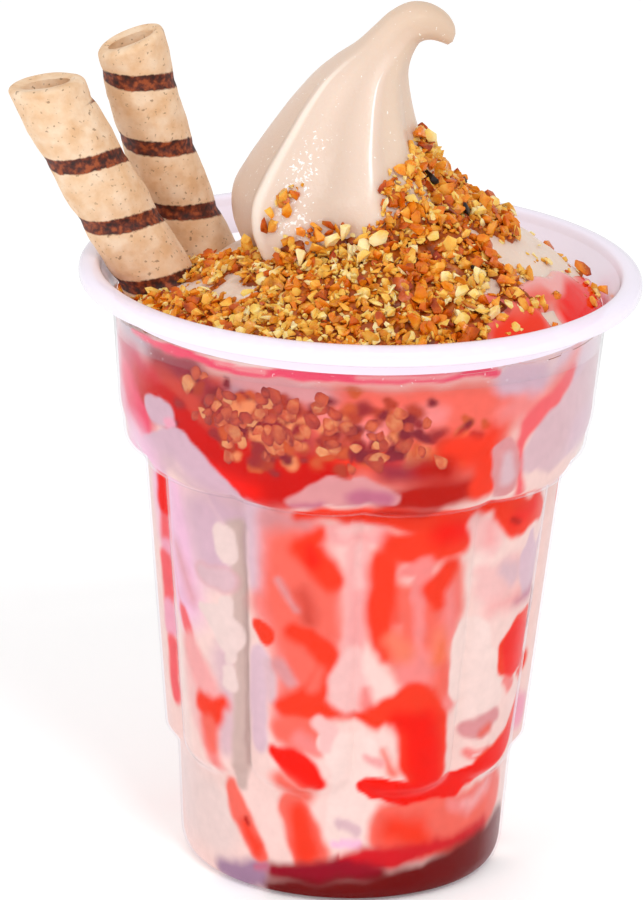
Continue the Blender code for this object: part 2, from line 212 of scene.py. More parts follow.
def give_colours(piece, name, colours):
    """Writes one linear colour for each point."""
    values = np.ones((len(piece.data.vertices), 4), np.float32)
    values[: len(colours), :3] = colours
    values[len(colours):, :3] = colours[-1]
    layer = piece.data.attributes.new(name, "FLOAT_COLOR", "POINT")
    layer.data.foreach_set("color", values.ravel())


def give_values(piece, name, numbers):
    values = np.zeros(len(piece.data.vertices), np.float32)
    values[: len(numbers)] = numbers
    layer = piece.data.attributes.new(name, "FLOAT", "POINT")
    layer.data.foreach_set("value", values)


# ---- shader helpers --------------------------------------------------------------------------------------


def shader_group(name, inputs, outputs):
    """An empty node group with float or colour inputs, and its input and output nodes."""
    group = bpy.data.node_groups.new(name, "ShaderNodeTree")
    for label, kind, value in inputs:
        socket = group.interface.new_socket(label, in_out="INPUT", socket_type="NodeSocket" + kind)
        socket.default_value = value
    for label, kind in outputs:
        group.interface.new_socket(label, in_out="OUTPUT", socket_type="NodeSocket" + kind)
    return group, group.nodes.new("NodeGroupInput"), group.nodes.new("NodeGroupOutput")


def node(tree, kind, links=(), **settings):
    """A node with its settings, where links maps its inputs to values or to other nodes' sockets."""
    made = tree.nodes.new(kind)
    for key, value in settings.items():
        setattr(made, key, value)
    for key, value in dict(links).items():
        if isinstance(value, bpy.types.NodeSocket):
            tree.links.new(value, made.inputs[key])
        else:
            made.inputs[key].default_value = value
    return made


def math_node(tree, operation, *values):
    return node(tree, "ShaderNodeMath", enumerate(values), operation=operation).outputs[0]


def mix_colours(tree, share, first, second, blend="MIX"):
    made = tree.nodes.new("ShaderNodeMix")
    made.data_type = "RGBA"
    made.blend_type = blend
    for socket, value in zip((made.inputs[0], made.inputs[6], made.inputs[7]), (share, first, second)):
        if isinstance(value, bpy.types.NodeSocket):
            tree.links.new(value, socket)
        else:
            socket.default_value = value if isinstance(value, float) else (*value[:3], 1)
    return made.outputs[2]


def ramp(tree, value, stops):
    made = node(tree, "ShaderNodeValToRGB", {"Fac": value})
    elements = made.color_ramp.elements
    while len(elements) < len(stops):
        elements.new(0.5)
    for element, (position, shade) in zip(elements, stops):
        element.position = position
        element.color = (*shade[:3], 1) if isinstance(shade, tuple) else (shade, shade, shade, 1)
    return made.outputs["Color"]


def place(tree):
    return node(tree, "ShaderNodeTexCoord").outputs["Object"]


def new_material(name, **values):
    """A material, its tree and its Principled shader with plain values on the shader's own sockets."""
    made = bpy.data.materials.new(name)
    made.use_nodes = True
    shader = made.node_tree.nodes["Principled BSDF"]
    for label, value in values.items():
        shader.inputs[label.replace("_", " ")].default_value = value
    return made, made.node_tree, shader


def make_mottle():
    """Uneven tone: a colour made lighter and darker in soft spots."""
    group, given, out = shader_group(
        "mottle", (("Color", "Color", (1, 1, 1, 1)), ("Scale", "Float", 100.0), ("Amount", "Float", 0.2)),
        (("Color", "Color"), ("Value", "Float")))
    spots = node(group, "ShaderNodeTexNoise",
                 {"Vector": place(group), "Scale": given.outputs["Scale"], "Detail": 4.0, "Roughness": 0.6})
    tone = math_node(group, "SUBTRACT", spots.outputs["Fac"], 0.5)
    tone = math_node(group, "MULTIPLY_ADD", tone, given.outputs["Amount"], 1.0)
    shade = node(group, "ShaderNodeCombineColor", {0: tone, 1: tone, 2: tone}).outputs[0]
    group.links.new(mix_colours(group, 1.0, given.outputs["Color"], shade, "MULTIPLY"), out.inputs["Color"])
    group.links.new(spots.outputs["Fac"], out.inputs["Value"])
    return group


def use_group(tree, group, links):
    made = tree.nodes.new("ShaderNodeGroup")
    made.node_tree = group
    for key, value in links.items():
        if isinstance(value, bpy.types.NodeSocket):
            tree.links.new(value, made.inputs[key])
        else:
            made.inputs[key].default_value = value
    return made


def bump(tree, shader, height, distance, strength=1.0):
    made = node(tree, "ShaderNodeBump", {"Height": height, "Distance": distance, "Strength": strength})
    tree.links.new(made.outputs["Normal"], shader.inputs["Normal"])


MOTTLE = make_mottle()

# ---- colours ---------------------------------------------------------------------------------------------

SERVE = colour(232, 208, 191)
# Painted shade for the swirl's grooves
SERVE_GROOVE_SHADE = colour(204, 177, 157)
SERVE_TIP = colour(212, 184, 158)
# Painted shade for the swirl's right side, away from the lamps
SERVE_SIDE_SHADE = colour(222, 197, 175)
# Painted highlight along the swirl's ridge at -47 degrees
SERVE_RIDGE_HIGHLIGHT = colour(252, 236, 222)
# Painted highlight: the thin line on the crest at 19 degrees, and the glints
PAINTED_HIGHLIGHT = colour(255, 254, 252)
CREAM = colour(238, 206, 196)
WARM_WHITE = colour(238, 213, 203)
IVORY = colour(228, 205, 197)
# Painted shade for a flute valley of the wall, and a darker painted shade for its edge
FLUTE_VALLEY_SHADE = colour(198, 172, 162)
FLUTE_EDGE_SHADE = colour(182, 154, 146)
COOL_WHITE = colour(208, 173, 185)
SMOKE = colour(178, 152, 162)
GREY_PINK = colour(214, 180, 184)
LAVENDER = colour(215, 183, 192)
DEEP_LAVENDER = colour(158, 124, 150)
LILAC = colour(236, 186, 210)
ROSY = colour(234, 162, 180)
BLUSH = colour(236, 188, 182)
SHELL = colour(236, 164, 160)
PINK = colour(236, 132, 126)
ROSE = colour(236, 96, 100)
HOT_PINK = colour(234, 62, 96)
MAGENTA = colour(204, 56, 84)
ORCHID = colour(188, 104, 128)
DUSKY = colour(213, 144, 144)
SALMON = colour(224, 98, 84)
SOAKED = colour(202, 66, 52)
CORAL = colour(236, 102, 86)
PEACH = colour(238, 122, 94)
ORANGE = colour(236, 106, 58)
RED = colour(236, 54, 26)
BRIGHT_RED = colour(236, 16, 0)
SAUCE_RED = colour(198, 6, 0)
DEEP_RED = colour(176, 14, 0)
CRIMSON = colour(204, 20, 30)
WINE = colour(142, 0, 28)
PLUM = colour(150, 44, 58)
DARK = colour(104, 0, 0)

# Sauce and soft serve behind the wall, with a few strokes of painted shade and painted highlight, painted in
# this order: the colour, the softness of its edge in millimetres, and its path of (azimuth in degrees, height in
# millimetres, half width in millimetres)
BAND_LAYERS = (
    (SAUCE_RED, 5, ((-42, 86, 5), (-20, 84, 6), (-4, 83, 5))),
    (SALMON, 5, ((0, 84, 5), (16, 84, 6), (30, 82, 6))),
    (SOAKED, 5, ((-52, 92, 5), (-20, 91, 6), (-6, 90, 6))),
    (SALMON, 5, ((-2, 92, 6), (16, 91, 6.5), (32, 91, 6))),
    (CORAL, 5, ((4, 93, 3), (16, 92, 5), (32, 92, 4))),
    (MAGENTA, 5, ((-78, 91, 5), (-68, 91, 6), (-60, 88, 5))),
    (ROSY, 5, ((-88, 92, 5), (-80, 86, 5), (-74, 82, 3))),
    (HOT_PINK, 4, ((-74, 88, 3), (-68, 85.5, 4.4), (-62, 82, 3.2))),
    (SMOKE, 4, ((-72, 98, 2.6), (-58, 97.6, 2.2))),
    (PLUM, 4, ((-54, 96, 2.0), (-42, 96, 2.2))),
    (DUSKY, 3, ((-27, 96.3, 1.6), (-17, 95.8, 2.2), (-8, 94.8, 2.0))),
    (CRIMSON, 4, ((-63, 90, 2.6), (-58, 90, 3))),
    (SAUCE_RED, 2, ((-60, 88, 2.4), (-52, 88, 3.6), (-43, 84.5, 3.5), (-34, 80, 4.5), (-27, 78, 5), (-20, 78, 4.5),
                    (-12, 81, 3), (-4, 83, 2.4))),
    (SAUCE_RED, 1.2, ((-24, 76, 3.4), (-20, 74, 1.6))),
    (BRIGHT_RED, 4, ((-36, 79, 1.4), (-26, 76, 2.0))),
    (PLUM, 4, ((-46, 96, 1.2), (-38, 93.5, 1.6), (-31, 91.5, 2.4), (-22, 88.5, 1.8), (-12, 86.5, 1.2))),
    (SMOKE, 4, ((-30, 95, 0.5), (-26, 93, 1.0), (-24, 90, 0.6))),
    (PINK, 4, ((-8, 92, 1.4), (-2, 90, 1.8), (4, 88, 1.6))),
    (PINK, 3, ((4, 88, 1.8), (9, 90.5, 2.4), (18, 92, 2.0))),
    (RED, 3, ((-2, 85, 1.8), (8, 84, 2))),
    (RED, 4, ((24, 85, 3), (32, 85, 3), (34, 88, 1.4))),
    (PLUM, 4, ((9, 82.5, 1.8), (15, 82.5, 1.8))),
    (DEEP_RED, 4, ((17, 82.5, 1.8), (22, 82, 2))),
    (DEEP_RED, 3, ((9, 76.5, 2.4), (20, 77.5, 3), (29, 78, 2.2))),
    (RED, 2, ((33, 78, 2.4), (34, 84, 1.8))),
    (COOL_WHITE, 3, ((38, 97, 3), (46, 95, 3.4))),
    (LAVENDER, 4, ((60, 96, 5), (78, 93, 6))),
    (PINK, 4, ((37, 91, 1.4), (42, 91, 2.4), (50, 90, 2.6), (57, 94, 2.0), (62, 98, 1.2))),
    (GREY_PINK, 1.2, ((49, 82, 3.6), (56, 83.5, 6), (64, 85.5, 6.4), (74, 88, 7))),
    (LAVENDER, 4, ((68, 82, 3), (78, 82, 4))),
    (ROSE, 1.4, ((61, 95, 1.0), (58, 93, 1.3), (54, 90.6, 1.5), (49, 89.4, 1.7), (45, 87.6, 1.5), (42.5, 85, 0.9))),
    (ROSE, 1.2, ((42.5, 85, 0.6), (44, 80, 0.45), (46.5, 75, 0.8))),
    (DUSKY, 0.7, ((38.2, 84.4, 1.9), (39.4, 80.5, 2.8), (40.4, 77, 2.2))),
    (GREY_PINK, 1.6, ((39, 83, 0.8), (40.4, 79, 1.6))),
    (DUSKY, 0.8, ((-14.5, 76.3, 1.2), (-9, 77.5, 2.3), (-4, 78.3, 2.9), (3, 78.3, 2.5), (9.5, 77, 1.3))),
    # Painted shade under the lens
    (ORCHID, 2, ((1, 77.2, 1.6), (8, 77, 1.2))),
    (ORCHID, 1.6, ((-15, 75.4, 0.5), (-8, 75.2, 0.6))),
    (COOL_WHITE, 0.8, ((-56.5, 86.2, 2.5), (-53.5, 86.2, 2.7))),
    (ROSY, 0.8, ((-50, 84.8, 1.3), (-50, 84, 0.7))),
    (COOL_WHITE, 0.8, ((-64, 75, 3.8), (-55.5, 78.8, 3.1), (-47, 81.3, 3.2), (-42, 79, 3.6), (-38, 75.5, 4), (-33, 71.5, 4),
                       (-26, 69.5, 2.8), (-20, 70, 2))),
    (GREY_PINK, 3, ((-62, 76, 2.0), (-50, 77, 1.2), (-38, 73, 1.4), (-30, 71, 1.2))),
    (HOT_PINK, 0.7, ((-66, 97.8, 0.5), (-46, 98.2, 0.8), (-29, 98.2, 0.9), (-12, 98.6, 0.9), (3, 98.9, 0.9), (17, 99, 0.9),
                 (33, 98.6, 0.9))),
    # Thin painted highlights along the rose line under the neck
    (SHELL, 1.2, ((-34, 98.6, 0.2), (-22, 98.6, 0.3))),
    (SHELL, 1.2, ((0, 99, 0.3), (24, 99.2, 0.3))),
)
LEFT_LAYERS = (
    (LILAC, 7, ((-68, 74, 7), (-62, 62, 8), (-57, 52, 6))),
    (DUSKY, 6, ((-60, 60, 0.5), (-52, 52, 0.8))),
    (COOL_WHITE, 6, ((-45, 68, 5), (-42, 60, 4))),
    (BLUSH, 4, ((-56, 38, 3), (-52, 30, 3))),
    (WARM_WHITE, 4, ((-66, 44, 3), (-62, 25, 3))),
    (GREY_PINK, 4, ((-41, 44, 2), (-40, 38, 2), (-40, 28, 3.0))),
    # Painted shade of the flute valley at -33 degrees
    (FLUTE_VALLEY_SHADE, 1.4, ((-34.5, 68, 1.5), (-34, 45, 1.6), (-35.5, 24, 1.8), (-36.5, 20, 1.4))),
    (IVORY, 0.6, ((-38.6, 66, 2.1), (-38, 62.8, 2.1))),
    (DUSKY, 2, ((-46, 58, 1.8), (-39, 57.5, 2.4))),
    (GREY_PINK, 1.6, ((-46, 58, 1.8), (-39, 57.5, 2.4))),
    (IVORY, 0.6, ((-47.5, 51, 0.8), (-41.5, 50, 2.6), (-38, 47.5, 3.2))),
    (IVORY, 0.6, ((-38.4, 53, 1.4), (-38, 43.5, 1.2))),
    (IVORY, 0.8, ((-39, 41, 1.2), (-38.6, 38, 1.5))),
    # Painted shade line along that valley's edge
    (FLUTE_EDGE_SHADE, 0.8, ((-32.6, 68, 0.5), (-32.6, 45, 0.5), (-33.6, 24, 0.5))),
    (ROSY, 0.8, ((-66, 63, 0.2), (-61, 53, 0.25), (-58, 48, 0.4))),
    (ROSE, 1.3, ((-58, 48.4, 1.4), (-56, 46, 1.6), (-54, 43.4, 1.0))),
    (SHELL, 2.6, ((-55, 43, 2.4), (-50, 39, 3.2), (-46, 35, 2.6))),
    (PINK, 3, ((-48, 30, 2.4), (-47, 26, 2.2), (-45.5, 23, 1.6))),
    (RED, 2.2, ((-50, 33.4, 2.0), (-45.5, 32.4, 2.8), (-41.5, 34, 1.4))),
    (CORAL, 2.4, ((-47.5, 30, 1.8), (-46.5, 26, 1.4))),
    (IVORY, 6, ((-68, 13, 8), (-50, 11, 7))),
    (DEEP_LAVENDER, 3, ((-48, 2.0, 1.8), (-40, 2.2, 2.6), (-31, 3.6, 2.8))),
    (CORAL, 1.6, ((-41.5, 18.5, 1.8), (-38, 14, 2.4), (-33.5, 10.5, 2.2), (-28.5, 7, 1.6))),
    (RED, 3, ((-36, 12, 1.0), (-30, 8, 1.3))),
    (DEEP_RED, 1, ((-35.6, 13.2, 0.5), (-34.6, 12.4, 0.4))),
    (BRIGHT_RED, 1.6, ((-71.5, 70, 1.8), (-71.5, 64.5, 1.8))),
    (ROSE, 2, ((-72, 62, 1.5), (-72, 59.5, 1.5))),
    (ROSY, 1.6, ((-72, 57.8, 1.5), (-72, 57, 1.5))),
    (ROSE, 1.6, ((-73, 55, 1.9), (-73, 48, 1.9))),
    (ROSY, 1.6, ((-73, 46, 1.9), (-73, 43, 1.9))),
    (ROSE, 1.6, ((-73, 40, 1.7), (-73, 30, 1.6))),
)
MIDDLE_LAYERS = (
    (LAVENDER, 2.5, ((-27, 71, 3.0), (-26, 63, 3.4), (-27, 58, 2.4))),
    (PINK, 4, ((-27, 54.5, 2.4), (-24, 54, 3))),
    (PINK, 6, ((-16, 68, 6), (-13, 56, 7), (-12, 44, 6), (-14, 34, 5))),
    (DUSKY, 4, ((-21, 70.5, 2.6), (-15, 70.5, 2))),
    (CORAL, 5, ((-17, 66, 4), (-16.5, 62, 4.8), (-17, 57, 5.4), (-13, 51, 5.6), (-12, 44, 4.6), (-14, 34, 4))),
    (CORAL, 4, ((-8, 60, 3), (-6, 52, 2.6))),
    (SOAKED, 4, ((-13, 58, 1.0), (-11, 54, 1.4))),
    (DUSKY, 2, ((-20, 60, 0.5), (-15, 55, 0.5))),
    (RED, 2.4, ((-9, 69, 1.4), (-12.8, 66.4, 2.3), (-10.5, 65, 2.6), (-7.5, 63, 2.6), (-5, 61, 2.3))),
    (BRIGHT_RED, 3, ((-11.5, 66.4, 0.6), (-10, 64, 1.0))),
    (RED, 0.9, ((-27.5, 50.8, 1.4), (-24.6, 49.4, 2.0))),
    (LAVENDER, 1.6, ((-27, 45, 2.1), (-28, 38, 2.2), (-28, 29, 2.0))),
    (GREY_PINK, 1.6, ((-24, 44, 1.0), (-23, 38, 1.0))),
    (DUSKY, 2, ((-20, 44, 1.8), (-17, 42, 1.4))),
    (RED, 2, ((-15.5, 50.6, 1.8), (-11, 50, 2.1), (-6.8, 47.8, 2.4), (-4.4, 45, 2.3), (-8, 40.6, 2.5),
              (-12.5, 37.6, 2.8), (-19, 37, 1.7))),
    (CORAL, 2.5, ((-8, 44, 1.0), (-10, 41, 1.2))),
    (CORAL, 2.5, ((-19, 32.6, 2.3), (-13, 31.4, 2.8), (-8, 30, 1.6))),
    (PINK, 2.5, ((-14, 31, 1.6), (-9, 29.6, 1.4))),
    (RED, 1.6, ((-12, 36.8, 1.7), (-4, 36.8, 1.4), (4, 36.2, 1.5), (9, 35.4, 1.8))),
    (BRIGHT_RED, 1.2, ((-22, 28, 1.4), (-17, 26.8, 2.7), (-11.5, 24.8, 2.7), (-8, 23.0, 1.5))),
    (CORAL, 3.5, ((-20, 22.5, 2.0), (-13, 20.4, 2.2))),
    (SHELL, 1.6, ((-4, 69.4, 1.8), (2, 70.2, 2.8), (8, 69, 2.0))),
    (SHELL, 2.2, ((2, 66, 2.1), (2.6, 56, 2.0), (2, 49, 1.9))),
    (BLUSH, 2.4, ((-2, 69.8, 0.8), (4, 70, 1.2))),
    (BLUSH, 2.4, ((2, 66, 1.0), (2.4, 60, 0.6))),
    (BLUSH, 1.8, ((1, 46, 2.3), (0.4, 42.5, 3.2), (1.4, 39.6, 3.8))),
    (PINK, 2, ((6, 41, 0.6), (7, 37.8, 1.4))),
    (CORAL, 1.8, ((-17.5, 17.2, 3.0), (-13.5, 12.6, 3.6), (-10.5, 8.5, 3.8))),
    (RED, 3, ((-15, 16, 2.0), (-12, 10, 2.8))),
)
RIGHT_LAYERS = (
    (CORAL, 3.5, ((14, 57, 4), (23, 55, 5.5), (21, 47, 5), (30, 55, 3.5), (31, 61, 2))),
    (PINK, 4, ((30, 58, 1.4), (31, 50, 1.8))),
    (PINK, 3, ((22, 44, 4.4), (28, 42, 3.6), (33, 37, 2))),
    (CORAL, 3.5, ((30, 46, 1.4), (29, 40, 2.4))),
    (RED, 2.5, ((12, 67.5, 2.4), (20, 67, 4), (30, 68, 4))),
    (RED, 1.5, ((-15, 72.2, 0.9), (-8, 73.4, 1.4), (8, 73, 2.2), (20, 72, 2.6), (33, 71, 2.6), (42, 72.4, 1.4),
                (52, 72, 2.0))),
    (BRIGHT_RED, 4, ((26, 69, 2.0), (34, 69, 1.6))),
    (DEEP_RED, 3, ((7, 73.6, 0.8), (20, 74, 1.0))),
    (RED, 2.4, ((9.8, 65, 2.2), (9, 57, 2.8), (9.6, 51, 2.4), (12, 47.6, 1.6))),
    (PINK, 1.6, ((15, 62.8, 1.2), (21, 63.4, 1.9), (20, 58, 1.5))),
    (PINK, 1.8, ((20, 58, 1.0), (20.4, 52, 1.0), (21.4, 46.4, 1.0), (21.8, 43.8, 1.5))),
    (RED, 2.2, ((29, 62.4, 1.8), (24.6, 59, 2.3), (26, 56, 1.2))),
    (PEACH, 3.5, ((13, 50, 1.4), (17, 47.6, 1.8))),
    (PEACH, 4, ((27, 50.5, 1.2), (28, 47, 1.6))),
    (ORANGE, 4, ((29, 49, 0.2), (28, 46, 0.4))),
    (RED, 1.7, ((9, 36.2, 1.6), (14, 37, 3), (21, 37.6, 4.6), (25, 33, 5.2), (26, 28, 5), (28, 24, 4))),
    (BRIGHT_RED, 4, ((16, 35, 1.4), (24, 33, 3.4), (26, 27, 3.6), (29, 22, 3))),
    (CORAL, 2.5, ((12, 30, 0.4), (16, 25.6, 1.0))),
    (WARM_WHITE, 0.9, ((-4.5, 31, 2.4), (1, 28.6, 4), (6, 30.2, 2.6))),
    (WARM_WHITE, 0.9, ((4, 25, 4.4), (3, 18, 4.7), (1.5, 14, 4.2))),
    (BLUSH, 1.2, ((-8, 34.2, 1.4), (-5, 32.8, 1.8), (-6, 30, 1.2))),
    (SHELL, 1.4, ((7, 28.4, 0.7), (11.5, 27.2, 1.0))),
    # Painted shade on the lower part of the cream patch
    (GREY_PINK, 1.4, ((-1, 15.2, 0.9), (5, 13.6, 1.2))),
    (LILAC, 1.2, ((-3, 11.2, 0.7), (6, 11.2, 0.9))),
    (BLUSH, 2, ((37.5, 69.5, 1.8), (42.5, 66, 3.2))),
    (SHELL, 3, ((43, 69, 0.6), (43, 66, 1.0))),
    (WARM_WHITE, 3, ((40, 63, 1.2), (39, 59, 1.6))),
    (BLUSH, 2.4, ((42, 60, 1.6), (46, 57.5, 3.6), (52, 59, 3.2))),
    (GREY_PINK, 2.4, ((50, 60, 1.6), (54, 58, 1.8))),
    (SHELL, 5, ((46, 53, 0.8), (57, 54, 1.6))),
    (WARM_WHITE, 0.9, ((36.5, 51, 1.2), (40, 48, 4.4), (40, 41, 4.5), (46, 41, 4.4), (48, 38, 4), (50, 36, 3.4),
                       (42, 34, 3))),
    (DUSKY, 1.2, ((42, 30.8, 1.3), (49, 31, 2.0), (53, 32.4, 1.4))),
    (SALMON, 2, ((48, 30, 0.7), (51, 30.5, 0.9))),
    (PINK, 1.4, ((43, 26.6, 0.9), (47.4, 25.7, 1.2), (51.5, 26.3, 0.7))),
    (BLUSH, 0.9, ((46, 25.8, 0.4), (48.4, 25.7, 0.5))),
    (RED, 1.2, ((47.5, 70.6, 2.6), (53, 68, 3.2), (61, 69.5, 2.8), (66, 68, 2))),
    (BRIGHT_RED, 4, ((52, 68, 1.2), (60, 70, 1.4))),
    (DEEP_RED, 1.2, ((50.5, 68.2, 0.5), (53.4, 67.6, 0.4))),
    (LAVENDER, 0.9, ((61, 64.4, 0.8), (61, 60, 3.0), (64, 55.5, 3.0), (72, 61, 3))),
    (ORCHID, 4, ((57, 52.6, 0.4), (66, 53, 0.8))),
    (RED, 0.8, ((66, 49.4, 1.4), (60.5, 47.6, 2.6), (55.5, 45.0, 2.6), (55, 41.8, 2.2))),
    (BRIGHT_RED, 0.8, ((60, 45, 4.0), (60, 41, 2.8), (68, 44, 4))),
    (PINK, 1.3, ((56.5, 38.6, 0.9), (60, 37.0, 1.4))),
    (RED, 1.6, ((66, 38, 1.0), (70, 38, 2.4), (76, 38, 2))),
    (ROSY, 3, ((76, 30, 2), (80, 28, 3))),
    (PLUM, 0.8, ((76, 51, 0.5), (76, 44, 0.5))),
    (RED, 1.2, ((73, 37, 0.9), (69, 31.5, 1.2), (63, 27.6, 1.9), (56, 25, 2.2), (50, 23.4, 2.2))),
    (CORAL, 2.6, ((19, 14, 5.6), (34, 13.5, 6), (48, 12.5, 6), (64, 15, 5))),
    (RED, 5, ((18, 14, 2.6), (30, 12.0, 3.0))),
    (CORAL, 4, ((36, 14, 3), (52, 11, 3))),
    (PINK, 2.5, ((41, 17, 1.4), (50, 15.4, 1.8), (61, 18, 1.8))),
    (SHELL, 2.5, ((46, 16.4, 0.4), (52, 15.6, 0.8), (60, 18, 0.8))),
    (BRIGHT_RED, 0.7, ((7.6, 23.0, 1.5), (12, 22.0, 2.3), (20, 21.2, 2.4), (33, 20.4, 2.3), (42, 20.8, 2.3),
                       (50, 22.2, 2.3), (56, 24, 2.3), (64, 27, 1.8))),
)
BOTTOM_LAYERS = (
    (CRIMSON, 2.5, ((0, 7.6, 1.6), (8, 8.2, 2.4), (20, 8.4, 2.4), (30, 9.2, 1.4), (44, 9.4, 1.2), (60, 10, 2))),
    (WINE, 2.5, ((-24, 4.6, 1.6), (-9, 5.4, 2.4), (2, 6.2, 2.2), (14, 5.6, 1.6))),
    (ORCHID, 1.6, ((-31, 4.6, 0.7), (-27, 5.0, 0.8))),
    (DARK, 3, ((-25, 1.0, 2.2), (-10, 1.4, 3.0), (10, 1.5, 3.6), (30, 2.2, 4.6), (50, 3.4, 5.4), (74, 5, 6))),
)
LAYERS = BAND_LAYERS + LEFT_LAYERS + MIDDLE_LAYERS + RIGHT_LAYERS + BOTTOM_LAYERS

# Where nuts stand behind the wall: middle height in millimetres at each azimuth, and how far they spread
NUT_BAND = ((-50, 93.5), (-40, 92), (-25, 88), (-8, 89.5), (12, 88), (34, 90))
NUT_SPREAD = 4.6
NUTS_IN_SAUCE = (colour(128, 34, 44), colour(150, 42, 44), colour(176, 60, 40), colour(200, 84, 46),
                 colour(226, 134, 88))

# How far the nuts reach up the soft serve, in millimetres from the wall, at each azimuth
NUT_REACH = ((-108, 12), (-90, 20), (-75, 24), (-50, 25), (-43, 26), (-30, 29), (-13, 30.5), (5, 29.5), (15, 29),
             (21, 30), (23, 34), (28, 37), (50, 41), (75, 44), (98, 44), (112, 40), (120, 32), (126, 14))
# Places where the soft serve or the sauce is bare, and where a few nuts stick beyond the heap, each as a
# share of the cover and a path of (azimuth in degrees, millimetres from the wall, half width)
BARE_PLACES = (
    (0.93, ((-54, 15.5, 2.8), (-42, 15, 2.6))),
    (0.93, ((-86, 9, 2.2), (-74, 12, 2.6), (-64, 12.4, 2.2))),
    (0.8, ((-62, 18.5, 1.8), (-58, 18, 1.4))),
    (0.6, ((-27, 19, 1.2), (-25, 14, 0.8))),
    (0.55, ((-20, 26.5, 1.3), (-6, 28, 1.3), (10, 27.5, 1.5))),
    (0.97, ((61, 17.5, 3.2), (64, 14, 4.6), (70, 10.5, 5.0))),
    (0.97, ((70, 9.5, 4.4), (80, 9.5, 5.4), (96, 10, 6.0), (112, 7, 5.0), (124, 8, 5.0))),
    (0.97, ((63, 2.5, 3.2), (80, 1.5, 3.6), (97, 0.5, 3.6), (124, 1, 4.0))),
    (0.85, ((57, 9, 1.8), (69, 8, 2.2))),
    (0.85, ((37, 3.0, 2.4), (50, 5, 2.6))),
    (0.8, ((50, 2, 2.4), (60, 4, 2.2))),
    (0.7, ((42, 10.5, 1.7), (46, 11, 1.2))),
)
FAR_NUTS = (
    (0.8, ((-35, 33, 1.4), (-30, 35.5, 1.8), (-25, 36.5, 1.4))),
    (0.5, ((-38, 31, 0.9), (-33, 32, 0.9))),
    (0.7, ((56, 10.5, 1.1), (62, 10, 1.2))),
    (0.6, ((52, 6.5, 1.2), (58, 5.5, 1.2))),
    (0.7, ((88, 1.2, 1.2), (93, 1.0, 1.0))),
    (0.4, ((75, 11, 1.2), (84, 10, 1.0))),
    (0.35, ((40, 43, 1.0), (36, 41, 0.8))),
)
# Bits that stand out: the kind, azimuth, millimetres from the wall, size and tone
SINGLE_NUTS = (
    ("toasted", -71, 22.8, 2.8, 0.85), ("pale", 84, 41, 2.3, 0.7), ("toasted", 44, 38, 1.5, 0.5),
    ("pale", 48, 39.5, 1.3, 0.8), ("toasted", 58, 35.5, 1.3, 0.45), ("skins", 25, 35, 1.3, 0.6),
    ("pale", 23, 31.5, 1.5, 0.75), ("pale", 31, 34, 1.4, 0.7), ("toasted", -13, 28, 1.7, 0.6),
    ("pale", -23, 26.5, 1.8, 0.85), ("pale", 3, 28.5, 1.7, 0.8), ("pale", 15, 26.5, 1.8, 0.85),
    ("pale", -8, 27.3, 1.7, 0.9), ("pale", 9, 26, 1.9, 0.95), ("toasted", -17, 27, 1.6, 0.75),
    ("toasted", -30, 35.5, 1.6, 0.75), ("toasted", -26, 33, 1.5, 0.7), ("toasted", -36, 32.5, 1.2, 0.8),
    ("dark", 62, 31.5, 1.9, 0.5), ("dark", 104, 24, 1.5, 0.5), ("dark", 68, 22.5, 1.4, 0.5),
    ("skins", 54, 24, 1.7, 0.1), ("skins", 100, 25, 1.4, 0.5), ("dark", 42, 14.5, 0.8, 0.5),
    ("toasted", 90, 1.6, 1.5, 0.6), ("toasted", 108, 30, 1.5, 0.5), ("toasted", 110, 24, 1.7, 0.55),
)
PRESSED_TRIES = 190
# Thin sauce that has run down the mound, by the same kind of path
TOP_SAUCE = (
    (SHELL, 3.0, ((54, 8, 2.4), (66, 7, 2.4), (80, 5, 2.2))),
    (BRIGHT_RED, 1.8, ((66, 2.4, 3.2), (78, 2.4, 3.4), (90, 1.4, 3.4), (98, 0, 2.8))),
    (RED, 3.0, ((38, 3, 2.8), (50, 4.0, 2.8))),
    (CORAL, 3.5, ((52, 7, 1.6), (62, 6, 1.6))),
    (CORAL, 4.0, ((34, 11, 1.2), (46, 7.5, 1.4))),
)

# ---- cup -------------------------------------------------------------------------------------------------


def ellipse_arc(centre, radii, first, last, steps):
    angles = (math.radians(lerp(first, last, i / steps)) for i in range(1, steps + 1))
    return [(centre[0] + radii[0] * math.cos(a), centre[1] + radii[1] * math.sin(a)) for a in angles]


def outer_outline():
    """(radius, height) up the outside of the cup, from the middle of its base to the top of its neck."""
    base = [(0.0, 0.0), (BASE_RADIUS * 0.5, 0.0), (BASE_RADIUS, 0.0)]
    base += ellipse_arc((BASE_RADIUS, BASE_ROUND[1]), BASE_ROUND, -90, 0, ROUND_STEPS)
    skirt = [(lerp(base[-1][0], SKIRT_TOP[0], t), lerp(base[-1][1], SKIRT_TOP[1], t)) for t in (0.35, 0.7, 1)]
    flutes = []
    for i in range(1, 61):
        share = (i / 60) ** 1.6
        flutes.append((lerp(SKIRT_TOP[0], FLUTE_TOP[0], share), lerp(SKIRT_TOP[1], FLUTE_TOP[1], share)))
    bulge = (SHOULDER_TOP[0] - FLUTE_TOP[0], SHOULDER_TOP[1] - FLUTE_TOP[1])
    shoulder = ellipse_arc((FLUTE_TOP[0], SHOULDER_TOP[1]), bulge, -90, 0, 2 * ROUND_STEPS)
    return base + skirt + flutes + shoulder + [BAND_TOP, NECK_FOOT, NECK_TOP]


def offset(outline, distance):
    """The outline moved towards the inside of the cup, square to each of its edges."""
    normals = []
    for (r0, z0), (r1, z1) in zip(outline, outline[1:]):
        length = math.hypot(r1 - r0, z1 - z0)
        normals.append(Vector(((z0 - z1) / length, (r1 - r0) / length)))
    moved = []
    for point, before, after in zip(outline, normals[:1] + normals, normals + normals[-1:]):
        move = (before + after) * (distance / (1 + before.dot(after)))
        moved.append((point[0] + move[0] if point[0] > 0 else 0.0, point[1] + move[1]))
    return moved


